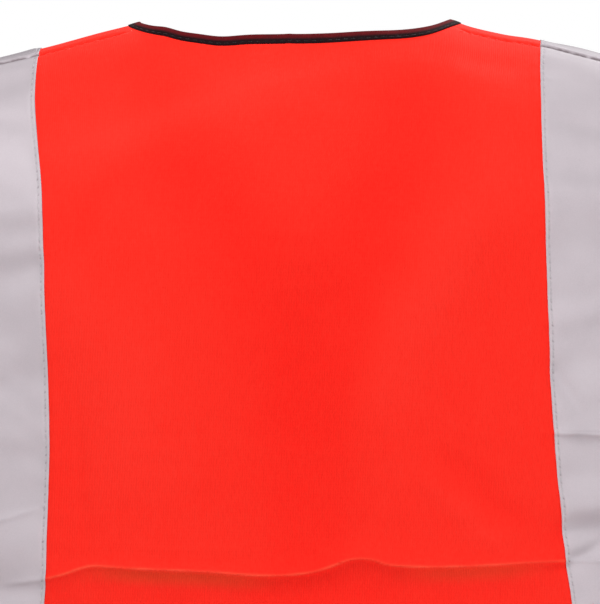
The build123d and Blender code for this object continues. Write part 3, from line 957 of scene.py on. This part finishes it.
def hang(piece, sign, slot, *nodes):
    """Joins a piece to the vest's body (sign 0). For the left (+1) or right (-1) front it only bakes the
    piece's place into its mesh.
    """
    if not sign:
        carry(piece, "vest_body", slot, *nodes)
        return
    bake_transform(piece)
    describe(nodes)


# ---------------------------------------------------------------- cloth

def mirrored(zones):
    return [zone for low, high, size in zones for zone in ((low, high, size), (-high, -low, size))]


P_FINE = mirrored([(133, 147, 1.1), (190, 203, 1.1)])
Q_FINE = [(352, 384, 0.8), (436, 456, 1.1), (630, 720, 1.6)]
for low, high in BANDS.values():
    Q_FINE += [(low - 7, low, 1.2), (high, high + 7, 1.2)]


def panel(name, face, p_low, p_high, material):
    """A cloth panel, cut at the neck, armhole and shoulder seam."""
    p_lines = spread(p_low, p_high, 2.4, P_FINE)
    q_lines = spread(EDGE_ROOM, 745.0, 2.4, Q_FINE)
    grid_p, grid_q = crossed(p_lines, q_lines)
    x, _, z = np.moveaxis(form(face, grid_p, grid_q)[0], -1, 0)
    room = np.minimum(seam_q(face, grid_p) - grid_q, armhole_room(x, z) - EDGE_ROOM)
    behind, ahead = (neck_room(side, x, z) - EDGE_ROOM for side in (BACK, FRONT))
    if face == FRONT:
        past_ridge = np.minimum(behind, np.abs(x) - NECK_X + 30)
        ahead = np.where(grid_q > ridge_q(grid_p), past_ridge, ahead)
    places, faces = cut_grid(p_lines, q_lines, np.minimum(room, behind if face == BACK else ahead))
    if face == BACK:
        faces = [f[::-1] for f in faces]
    points, _ = surface(face, places[:, 0], places[:, 1], FABRIC)
    piece = new_mesh(name, points, faces, material, places)
    # painted light and shade for the material, from the soft folds' heights: lighter on ridges, darker in
    # hollows
    soft_folds = [fold for fold in FOLDS[face] if fold[2] < 0.6]
    mark(piece, "relief", np.tanh(fold_sum(soft_folds, places[:, 0], places[:, 1]) / 2.2))
    # painted highlight along the packing crease and painted shadow below it
    if face == BACK:
        edge, shade_below = crease_light_and_shade(places[:, 0], places[:, 1])
        mark(piece, "crease_edge", edge)
        mark(piece, "crease_shade", shade_below)
    return thicken(piece, CLOTH_THICKNESS)


def front_span(sign):
    """Where a front starts and ends round the vest."""
    return sorted((sign * OPENING_X, sign * SIDE_P))


def cloth_panels():
    hang(panel("back_cloth", BACK, -SIDE_P, SIDE_P, CLOTH), 0, "shell_fabric", "back_panel")
    for side, sign in SIDES:
        front = panel(f"front_{side}_cloth", FRONT, *front_span(sign), CLOTH)
        hang(front, sign, "shell_fabric", f"front_{side}_panel", f"front_{side}_panel_flap")


# ---------------------------------------------------------------- tapes

def across_tape():
    """Lines across a tape, closer together at the stitches."""
    half = [0, 0.5, 1.0, 1.5, 2.0, 2.5, 3.0, 3.8, 5.0, 7.0, 9.5, 12.0, 14.5, 17.0, 19.5, 22.0]
    return np.array(half + [25.0] + [TAPE_WIDTH - u for u in reversed(half)])


TAPE_STITCH_DIP = 0.26  # how deep stitches draw a tape in
TAPE_EDGE_DROP = 0.12
TAPE_SEAM_DIP = 0.4  # how deep a tape sinks into the shoulder seam


def tape_out(u, s):
    """The outer side of a tape, drawn in along its stitches, and where its needle holes are."""
    edge = np.minimum(u, TAPE_WIDTH - u)
    seam = bell(edge, STITCH_INSET, 0.75)
    phase = np.cos(2 * math.pi * s / STITCH_PITCH)
    # where painted shade goes, in the needle holes
    holes = bell(edge, STITCH_INSET, 0.42) * np.clip(phase, 0, 1) ** 3
    drawn_in = TAPE_STITCH_DIP * (0.6 + 0.4 * phase) * seam
    return TAPE_OUT - drawn_in - TAPE_EDGE_DROP * np.exp(-edge / 0.3), holes


def tape_sheet(name, face, p, q, u, s, to_seam=99.0):
    """A tape over arrays of places. It dips into a seam that is to_seam away."""
    out, holes = tape_out(u, s)
    dip = bell(to_seam, 0, 1.1)
    # painted shade also fills the seam line that the tape dips into
    out, holes = out - TAPE_SEAM_DIP * dip, np.maximum(holes, 3 * dip)
    piece = sheet(name, face, p, q, out, TAPE_THICKNESS, SILVER)
    mark(piece, "needle", holes)
    return piece


def band(name, face, p_low, p_high, low_z):
    s = np.append(np.arange(p_low, p_high - 0.5, STITCH_PITCH / 4), p_high)
    p, u = crossed(s, across_tape())
    return tape_sheet(name, face, p, low_z + u, u, p - p_low)


def brace(name, face, sign):
    """A brace tape from the upper band to the shoulder seam, with its top cut along the seam."""
    middle_top = float(seam_q(face, np.array(BRACE_INNER_X + TAPE_WIDTH / 2)))
    near_seam = middle_top - np.array([1.6, 1.1, 0.7, 0.4, 0])
    s = np.append(np.arange(BRACE_FOOT, middle_top - 2.2, STITCH_PITCH / 4), near_seam)
    u, q = crossed(across_tape(), s)
    p = sign * (brace_x(q, 0) + u)
    to_seam = middle_top - q
    q = q + ((q - BRACE_FOOT) / (middle_top - BRACE_FOOT)) ** 6 * (seam_q(face, p) - middle_top)
    piece = tape_sheet(name, face, p, q, u, q - BRACE_FOOT, to_seam)
    if sign < 0:
        piece.data.flip_normals()
    return piece


def tapes():
    for level, (low_z, _) in BANDS.items():
        back = band(f"{level}_band_back_tape", BACK, -SIDE_P, SIDE_P, low_z)
        hang(back, 0, "reflective_tape", f"{level}_band_back")
        for side, sign in SIDES:
            front = band(f"{level}_band_{side}_tape", FRONT, *front_span(sign), low_z)
            node_name = f"{level}_band_{side}"
            hang(front, sign, "reflective_tape", node_name, node_name + "_flap")
    for side, sign in SIDES:
        for name, face in (("back", BACK), ("front", FRONT)):
            piece = brace(f"{name}_brace_{side}", face, sign)
            hang(piece, 0, "reflective_tape", f"{name}_brace_tape_{side}")


# ---------------------------------------------------------------- bound edges

def root(low, high, room):
    """Where room changes from positive at low to negative at high, by halving."""
    for _ in range(40):
        middle = (low + high) / 2
        inside = room(middle) > 0
        low, high = np.where(inside, middle, low), np.where(inside, high, middle)
    return (low + high) / 2


def form_xz(face, p, q):
    point = form(face, p, q)[0]
    return point[..., 0], point[..., 2]


def neck_edge():
    """The neck's edge from the right front, round the back, to the left front, as (p, w)."""
    p = NECK_X * np.sin(np.linspace(-0.5, 0.5, 160) * math.pi)
    q = root(np.full_like(p, 600.0), ridge_q(p), lambda q: neck_room(BACK, *form_xz(BACK, p, q)))
    reached = q < ridge_q(p) - 1
    behind = np.stack([p, over(BACK, p, q)])[:, reached]
    p = OPENING_X + (NECK_X - 0.5 - OPENING_X) * np.linspace(0, 1, 200)
    q = root(np.full_like(p, 380.0), ridge_q(p), lambda q: neck_room(FRONT, *form_xz(FRONT, p, q)))
    reached = (q < ridge_q(p) - 1) & (p < behind[0].max())
    p, q = p[reached], q[reached]
    tail = np.arange(ZIP_HIGH[2] - 2, q[0] - 0.5, 1.0)
    p, q = np.append(np.full_like(tail, OPENING_X), p), np.append(tail, q)
    left = np.stack([p, over(FRONT, p, q)])[:, ::-1]
    right = left[:, ::-1] * np.array([[-1], [1]])
    return np.concatenate([right, behind, left], axis=1)


def armhole_edge(sign):
    """An armhole's edge, from under the arm up the back, over the shoulder and down the front, as (p, w)."""
    halves = []
    middle_q = 520.0
    for face in (BACK, FRONT):
        turn = np.linspace(0, 1, 300) * math.radians(157)
        reach_p, reach_q = -np.sin(turn), -np.cos(turn)

        def place(distance):
            return SIDE_P + reach_p * distance, middle_q + reach_q * distance

        far = np.where(reach_q > 0, (NECK_Z - middle_q) / np.maximum(reach_q, 1e-6), 200.0)
        far = np.minimum(far, 260.0)
        p, q = place(root(far, np.zeros_like(turn), lambda d: armhole_room(*form_xz(face, *place(d)))))
        below = q < ridge_q(p)
        halves.append(np.stack([p[below], over(face, p[below], q[below])]))
    loop = np.concatenate([halves[0], halves[1][:, ::-1]], axis=1)
    return loop * np.array([[sign], [1]])


def hem_edge(face, p_low, p_high):
    p = np.linspace(p_low, p_high, 400)
    return np.stack([p, over(face, p, np.zeros_like(p))])


def evened(values, rounds):
    """Values along a track, with their unevenness smoothed out. The ends stay."""
    values = values.copy()
    for _ in range(rounds):
        values[1:-1] = (values[:-2] + 2 * values[1:-1] + values[2:]) / 4
    return values


def resampled(edge, size):
    """An edge with evenly spaced places, after evening out its corners."""
    p, w = edge
    for _ in range(2):
        points = lie(p, w, 0.5)[0]
        s = np.concatenate([[0], np.cumsum(np.linalg.norm(np.diff(points, axis=0), axis=1))])
        even = np.linspace(0, s[-1], int(round(s[-1] / size)) + 1)
        p, w = (evened(np.interp(even, s, values), 14) for values in (p, w))
    return p, w, even


def edge_track(edge, inside, closed=False):
    """An edge's length, and the edge as a function track(s, d): the place d inside it, s along it."""
    p, w, s = resampled(edge, ROW_STEP)
    points, normals = lie(p, w, 0.5)
    tangent = np.gradient(points, axis=0)
    if closed:
        tangent[0] = tangent[-1] = points[1] - points[-2]
    into = np.cross(normals, unit(tangent))
    middle = len(p) // 2
    if (lie(*inside, 0.5)[0] - points[middle]) @ into[middle] < 0:
        into = -into
    nudge = 0.5
    step_p = (lie(p + nudge, w, 0.5)[0] - lie(p - nudge, w, 0.5)[0]) / (2 * nudge)
    step_w = (lie(p, w + nudge, 0.5)[0] - lie(p, w - nudge, 0.5)[0]) / (2 * nudge)
    pp, pw, ww = ((a * b).sum(1) for a, b in ((step_p, step_p), (step_p, step_w), (step_w, step_w)))
    hp, hw = (step_p * into).sum(1), (step_w * into).sum(1)
    rate_p = (ww * hp - pw * hw) / (pp * ww - pw**2)
    rate_w = (pp * hw - pw * hp) / (pp * ww - pw**2)
    rate_p, rate_w = evened(rate_p, 20), evened(rate_w, 20)

    def track(along, inward):
        at = [np.interp(along, s, values) for values in (p, w, rate_p, rate_w)]
        return at[0] + inward * at[2], at[1] + inward * at[3]

    return s[-1], track


NECK_BACK_RUN = 336.0  # the part of the neck binding that stays with the back and shoulders
BINDING_STITCH = BINDING_LEG - 1.4  # from the edge to the stitches
BINDING_OUT, BINDING_IN = 1.65, -0.65  # outer and inner side of a binding
NOSE = 1.15  # half the thickness of a bound edge


def half_round(radius, middle, start, end, count):
    """Places round an edge, as (distance inside the edge, distance out)."""
    turns = np.linspace(start, end, count)
    return [(radius - radius * math.sin(a), middle + radius * math.cos(a)) for a in turns]


def binding_profile():
    """The folded strip's outline as (distance inside the edge, distance out)."""
    rim = [(0, -0.63), (0, -0.35), (-0.3, -0.13), (-0.8, -0.05)]
    rim += [(-1.4, -0.09), (-2.0, -0.01), (-3.0, 0.03), (-4.6, 0.03)]
    face = [(BINDING_LEG + a, BINDING_OUT + b) for a, b in rim]
    lining = [(BINDING_LEG + a, BINDING_IN - b) for a, b in reversed(rim)]
    return np.array(face + half_round(NOSE, (BINDING_OUT + BINDING_IN) / 2, 0, math.pi, 9) + lining)


def swept(name, track, start, end, profile, material, closed=False, stitched=BINDING_STITCH):
    """A strip with a closed outline, carried along an edge."""
    s = np.linspace(start, end, int((end - start) / ROW_STEP) + 1)
    if closed:
        s = s[:-1]
    along, inward = crossed(s, profile[:, 0])
    out = np.broadcast_to(profile[:, 1], along.shape)
    holes = 0.5 + 0.5 * np.cos(2 * math.pi * along / STITCH_PITCH)
    pinch = PINCH * holes * bell(inward, stitched, 0.6)
    out = out - pinch * np.sign(out - 0.5)
    points, _ = lie(*track(along, inward), out)
    girth = np.concatenate([[0], np.cumsum(np.linalg.norm(np.diff(profile, axis=0), axis=1))])
    uv = column(along, np.broadcast_to(girth, along.shape))
    piece = new_mesh(name, points, tube_faces(*along.shape, closed), material, uv)
    face_outward(piece)
    return piece


# ---------------------------------------------------------------- stitches

def stitches(name, rows, material):
    """Short threads that rise from the cloth and sink back. A row is (track, start, end, inward, out)."""
    rings = 7
    t = np.linspace(0, 1, rings)
    lift = np.sin(math.pi * t) ** 0.7
    all_points, all_uv = [], []
    for track, start, end, inward, out in rows:
        count = int((end - start) / STITCH_PITCH)
        along = start + (np.arange(count)[:, None] + (1 - STITCH_SHARE) / 2 + STITCH_SHARE * t) * STITCH_PITCH
        centre, normal = lie(*track(along, inward), out + STITCH_RISE * lift - STITCH_SUNK)
        forward = unit(np.gradient(centre, axis=1))
        sideways = unit(np.cross(forward, normal))
        radius = (THREAD_RADIUS * (0.7 + 0.3 * lift))[None, :, None, None]
        points, angle = thread_rings(centre, sideways, np.cross(sideways, forward), radius)
        all_points.append(points.reshape(-1, 3))
        girth = np.broadcast_to(angle * THREAD_RADIUS, along.shape + (THREAD_SIDES,))
        all_uv.append(column(np.broadcast_to(along[..., None], girth.shape), girth))
    points = np.concatenate(all_points)
    size = rings * THREAD_SIDES
    caps = np.array([[3, 2, 1, 0], [5, 4, 3, 0]])
    end_caps = caps[:, ::-1] + size - THREAD_SIDES
    one = np.concatenate([thread_walls(np.arange(size).reshape(rings, THREAD_SIDES)), caps, end_caps])
    offsets = np.arange(len(points) // size) * size
    faces = (one[None] + offsets[:, None, None]).reshape(-1, 4)
    return new_mesh(name, points, faces, material, np.concatenate(all_uv))


def level_track(face, q):
    """A row at one height, along p."""
    return lambda s, _: (s, over(face, s, np.full_like(s, q)))


def brace_track(face, sign, u):
    """A row up a brace, along q."""
    def track(s, _):
        p = sign * (brace_x(s, 0) + u)
        return p, over(face, p, s)
    return track


TAPE_STITCH_LINES = (STITCH_INSET, TAPE_WIDTH - STITCH_INSET)
TAPE_STITCH_OUT = TAPE_OUT - 0.12  # the stitches sit in the dip along a tape's edge
BINDING_STITCH_OUT = 1.44


def band_rows(face, p_low, p_high):
    """The stitch rows along both edges of both bands, between two places."""
    heights = [low_z + inset for low_z, _ in BANDS.values() for inset in TAPE_STITCH_LINES]
    return [(level_track(face, q), p_low, p_high, 0, TAPE_STITCH_OUT) for q in heights]


def tape_stitches():
    rows = band_rows(BACK, -SIDE_P, SIDE_P)
    for _, sign in SIDES:
        for face in (BACK, FRONT):
            for u in TAPE_STITCH_LINES:
                end = float(seam_q(face, np.array(sign * (BRACE_INNER_X + u)))) - 1
                rows.append((brace_track(face, sign, u), BRACE_FOOT, end, 0, TAPE_STITCH_OUT))
    hang(stitches("tape_stitches", rows, GREY_THREAD), 0, "reflective_tape")
    for side, sign in SIDES:
        rows = band_rows(FRONT, *front_span(sign))
        hang(stitches(f"band_stitches_{side}", rows, GREY_THREAD), sign, "reflective_tape")


def shoulder_stitches():
    """The topstitch below each shoulder seam, on the orange."""
    rows = []
    for _, sign in SIDES:
        def track(s, _, sign=sign):
            return sign * s, over(BACK, sign * s, seam_q(BACK, sign * s) - 2.6)
        for start, end in ((NECK_X + 5, BRACE_INNER_X), (BRACE_INNER_X + TAPE_WIDTH, SHOULDER_TIP_X - 6)):
            rows.append((track, start, end, 0, FABRIC))
    hang(stitches("shoulder_stitches", rows, ORANGE_THREAD), 0, "shell_fabric")


def bound_edges():
    profile = binding_profile()

    def bind(name, row_name, track, start, end, sign, nodes, closed=False):
        piece = swept(name, track, start, end, profile, BINDING, closed)
        hang(piece, sign, "edge_binding", *nodes)
        row = (track, start, end, BINDING_STITCH, BINDING_STITCH_OUT)
        hang(stitches(row_name, [row], BLACK_THREAD), sign, "edge_binding")

    length, track = edge_track(neck_edge(), (0.0, -80.0))
    front = (length - NECK_BACK_RUN) / 2
    bind("neck_edge_binding", "neck_stitches", track, front, length - front, 0, ["neck_binding"])
    bind("neck_edge_right", "neck_stitches_right", track, 0, front, -1, ["neck_binding_right_flap"])
    bind("neck_edge_left", "neck_stitches_left", track, length - front, length, 1, ["neck_binding_left_flap"])

    for side, sign in SIDES:
        length, track = edge_track(armhole_edge(sign), (sign * 190.0, 0.0), closed=True)
        bind(f"armhole_edge_{side}", f"armhole_stitches_{side}", track, 0, length, 0,
             [f"armhole_binding_{side}"], closed=True)

    for side, sign in SIDES:
        inside = (sign * 150.0, over(FRONT, 150.0, 40.0))
        length, track = edge_track(hem_edge(FRONT, sign * SIDE_P, sign * OPENING_X), inside)
        bind(f"hem_edge_{side}", f"hem_stitches_{side}", track, 0, length, sign, [f"hem_binding_{side}_flap"])
    length, track = edge_track(hem_edge(BACK, -SIDE_P, SIDE_P), (0.0, over(BACK, 0.0, 40.0)))
    bind("hem_edge_back", "hem_stitches_back", track, 0, length, 0, ["hem_binding"])


# ---------------------------------------------------------------- front opening and zip

HEM_WIDTH = 12.0
HEM_STITCHES = (2.6, 8.6)  # from the opening's edge


def front_hems():
    """The cloth turned under beside the zip, with two rows of stitches through it."""
    turned = [(HEM_WIDTH, 0.1), (HEM_WIDTH, 0.34), (1.2, 0.34), (1.2, 1.04)]
    profile = np.array(turned + half_round(0.34, 0.7, 0, math.pi, 7) + [(1.2, 0.1)])
    for side, sign in SIDES:
        edge_q = np.linspace(EDGE_ROOM, ZIP_HIGH[2] - 2, 400)
        edge_p = np.full_like(edge_q, sign * OPENING_X)
        edge = np.stack([edge_p, over(FRONT, edge_p, edge_q)])
        length, track = edge_track(edge, (sign * 40.0, over(FRONT, 40.0, 240.0)))
        piece = swept(f"front_{side}_hem", track, 0, length, profile, CLOTH, stitched=99.0)
        carry(piece, f"front_{side}", "shell_fabric")
        rows = [(track, 7.0, length - 2, inward, FABRIC) for inward in HEM_STITCHES]
        carry(stitches(f"front_{side}_hem_stitches", rows, ORANGE_THREAD), f"front_{side}", "shell_fabric")


def zip_tapes():
    """Woven tapes with a cord along the edge that carries the teeth."""
    low_z, high_z = ZIP_LOW[2], ZIP_HIGH[2]
    cord, thickness, out = 0.85, 0.8, -0.7
    inner, outer = ZIP_LOW[0], ZIP_HIGH[0]
    middle = out - thickness / 2
    around = [(inner + x, y) for x, y in half_round(cord, middle, 0.45, math.pi - 0.45, 9)]
    front = [(x, out + 0.05 * math.cos(x * 2.1)) for x in np.linspace(inner + 2.2, outer - 0.3, 12)]
    edge = [(outer, middle + 0.2), (outer, middle - 0.2)]
    behind = [(x, out - thickness) for x in np.linspace(outer - 0.3, inner + 2.2, 12)]
    outline = np.array(front[::-1] + around + behind[::-1] + edge[::-1])
    z = np.append(np.arange(low_z, high_z - 1, 3.0), high_z)
    for side, sign in SIDES:
        q, x = crossed(z, outline[:, 0])
        depth = np.broadcast_to(outline[:, 1], q.shape)
        points, _ = surface(FRONT, sign * x, q, depth)
        piece = new_mesh(f"zip_cloth_{side}", points, tube_faces(*q.shape), ZIP_TAPE, column(x, q))
        face_outward(piece)
        carry(piece, f"front_{side}", "zip_tape", f"zip_tape_{side}")


def zip_hardware():
    """The zip's own parts keep their shape, with softened edges and finishes."""
    finishes = {name: METAL for name in ("zip_slider_body", "zip_pull_tab", "zip_insertion_pin")}
    finishes["zip_retainer"] = PLASTIC
    for side, _ in SIDES:
        finishes[f"zip_teeth_{side}"] = PLASTIC
        finishes[f"zip_top_stop_{side}"] = PLASTIC
    for name, material in finishes.items():
        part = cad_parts[name]
        while len(part.data.materials) > 1:
            part.data.materials.pop()
        if not part.data.materials:
            part.data.materials.append(material)
        part.data.materials[0] = material
        weld = part.modifiers.new("weld", "WELD")
        weld.merge_threshold = 0.00001
        soften = part.modifiers.new("soft_edges", "BEVEL")
        soften.width = 0.00012 if "teeth" in name else 0.0002
        soften.segments = 2
        soften.limit_method = "ANGLE"
        soften.angle_limit = math.radians(40)


# ---------------------------------------------------------------- inside: labels and side seams

def in_from_seam(sign, q, depth, lift):
    """Points a depth in from a side seam, moved towards the back by lift."""
    base, normal = surface(BACK, np.full_like(q, sign * SIDE_P), q, 0.2)
    points = base - normal * depth[..., None]
    points[..., 1] += lift
    return points


def flag(name, sign, q_lines, depth_lines, lift, thickness, material):
    """A strip that stands in from the side seam. lift(q, depth) moves it towards the back."""
    q, depth = crossed(q_lines, depth_lines)
    points = in_from_seam(sign, q, depth, lift(q, depth))
    piece = new_mesh(name, points, grid_faces(*q.shape), material, column(depth, q))
    return thicken(piece, thickness, 0.0)


SEAM_DEPTH = 9.0  # how far a side seam's raw edge stands in


def seam_wave(q, depth):
    """The waviness of a side seam's raw edge."""
    return depth / SEAM_DEPTH * (0.5 * np.sin(q / 6.3) + 0.35 * np.sin(q / 2.9 + 1))


def side_seams():
    for side, sign in SIDES:
        low, high = z_range(f"side_seam_{side}")
        q, depth = np.arange(low, high, ROW_STEP), np.linspace(0, SEAM_DEPTH, 10)
        piece = flag(f"side_seam_allowance_{side}", sign, q, depth, seam_wave, 0.9, CLOTH)
        hang(piece, 0, "shell_fabric", f"side_seam_{side}")
        hang(overlock(f"overlock_{side}", sign, low + 2, high - 2), 0, "shell_fabric")


def overlock(name, sign, low, high):
    """Thread wound over the raw edge of a side seam."""
    pitch, half_thickness = 2.4, 0.62
    t = np.linspace(0, 2 * math.pi, 17)[:-1]
    q = np.arange(low, high, pitch)[:, None] + pitch * t / (2 * math.pi)
    depth = SEAM_DEPTH + 0.1 - pitch + pitch * np.sin(t)[None] + 0 * q
    lift = seam_wave(q, depth) + half_thickness * np.cos(t)[None]
    centre = in_from_seam(sign, q, depth, lift).reshape(-1, 3)
    forward = unit(np.gradient(centre, axis=0))
    up = unit(np.cross(forward, np.array([0.0, 0.0, 1.0])))
    points, angle = thread_rings(centre, np.cross(forward, up), up, OVERLOCK_RADIUS)
    index = np.arange(len(centre) * THREAD_SIDES).reshape(-1, THREAD_SIDES)
    faces = [list(f) for f in thread_walls(index)] + [list(index[0][::-1]), list(index[-1])]
    along = np.repeat(np.arange(len(centre)) * 0.4, THREAD_SIDES)
    uv = column(along, np.tile(angle * OVERLOCK_RADIUS, len(centre)))
    return new_mesh(name, points, faces, ORANGE_THREAD, uv)


def labels():
    low, high = box_mm("neck_label")
    centre = np.array(0.0)
    q_top = root(np.array(600.0), ridge_q(centre), lambda q: high[2] - form_xz(BACK, centre, q)[1])
    length = high[2] - low[2]
    p, q = crossed(np.linspace(low[0], high[0], 40), q_top - np.linspace(length, 0, 34))
    curl = 1.2 * ((q_top - q) / length) ** 2 * (1 + 0.6 * np.sin(p / 8 + 1))
    piece = sheet("neck_satin_label", BACK, p, q, -0.15 - curl, LABEL_THICKNESS, LABEL)
    hang(piece, 0, "label_cloth", "neck_label")
    row = (level_track(BACK, float(q_top) - 2.0), low[0] + 1.5, high[0] - 1.0, 0, -0.55)
    hang(stitches("neck_label_stitches", [row], GREY_THREAD), 0, "label_cloth")

    def curved(q, depth):
        return 1.6 + 2.2 * (depth / 45) ** 2 + 0.9 * np.sin(q / 9 + depth / 14) * (depth / 45)

    low, high = box_mm("care_label")
    q, depth = np.linspace(low[2], high[2], 50), np.linspace(1.5, high[0] - low[0] + 3, 40)
    piece = flag("care_satin_label", 1, q, depth, curved, LABEL_THICKNESS, LABEL)
    hang(piece, 0, "label_cloth", "care_label")


# ---------------------------------------------------------------- stage

def pale_floor():
    """Matt and pale, turning white far off, where it would meet the background."""
    material, base = shader("pale_floor", roughness=0.9)
    link(base, ramp(base, noise(base, 300.0), [(0.80, 0.80, 0.80), (0.84, 0.84, 0.84)]), "Base Color")
    place = node(base, "TexCoord").outputs["Object"]
    distance = node(base, "VectorMath", {0: place}, operation="LENGTH").outputs["Value"]
    far = node(base, "MapRange", {"Value": distance, "From Min": 0.5, "From Max": 3.0},
               interpolation_type="SMOOTHSTEP").outputs[0]
    seen = node(base, "LightPath").outputs["Is Camera Ray"]
    white = node(base, "Emission", {"Color": (1, 1, 1, 1)}).outputs[0]
    blend = {0: maths(base, "MULTIPLY", far, seen), 1: base.outputs[0], 2: white}
    surface_out = node(base, "MixShader", blend).outputs[0]
    tree = material.node_tree
    tree.links.new(surface_out, tree.nodes["Material Output"].inputs["Surface"])
    return material


def studio():
    """A plain pale floor and soft light from all round, brightest in front of and behind the vest."""
    bpy.ops.mesh.primitive_plane_add(size=80)
    floor = bpy.context.object
    floor.name = "floor"
    floor.data.materials.append(pale_floor())
    floor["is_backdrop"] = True

    world = bpy.data.worlds.new("studio")
    bpy.context.scene.world = world
    world.use_nodes = True
    tree = world.node_tree
    seen = tree.nodes.new("ShaderNodeLightPath")
    strength = tree.nodes.new("ShaderNodeMapRange")
    strength.inputs["To Min"].default_value = 0.2
    strength.inputs["To Max"].default_value = 1.0
    tree.links.new(seen.outputs["Is Camera Ray"], strength.inputs["Value"])
    tree.links.new(strength.outputs[0], tree.nodes["Background"].inputs["Strength"])
    tree.nodes["Background"].inputs["Color"].default_value = (1, 1, 1, 1)

    target = Vector((0, 0, 0.4))
    places = {"key_behind": ((0.7, 1.3, 2.3), 36), "side_behind": ((-2.3, 1.0, 0.9), 16),
              "key_front": ((-0.7, -1.3, 2.3), 36), "side_front": ((2.3, -1.0, 0.9), 16)}
    for name, (place, watts) in places.items():
        light = bpy.data.objects.new(name, bpy.data.lights.new(name, "AREA"))
        light.data.size = 0.8
        light.data.energy = watts
        light.location = place
        light.rotation_euler = (target - Vector(place)).to_track_quat("-Z", "Y").to_euler()
        bpy.context.scene.collection.objects.link(light)


def camera():
    """Far behind the upper back, square to it, turned a little so that the vest leans."""
    eye = bpy.data.objects.new("camera", bpy.data.cameras.new("camera"))
    bpy.context.scene.collection.objects.link(eye)
    bpy.context.scene.camera = eye
    eye.data.lens = 321
    eye.location = (-0.0025, 3.097, 0.521)
    eye.rotation_euler = (math.radians(90), math.radians(0.4), math.radians(180))
    bpy.context.scene.view_settings.view_transform = "Standard"


cloth_panels()
tapes()
tape_stitches()
shoulder_stitches()
bound_edges()
front_hems()
zip_tapes()
zip_hardware()
side_seams()
labels()
studio()
camera()

low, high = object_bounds()
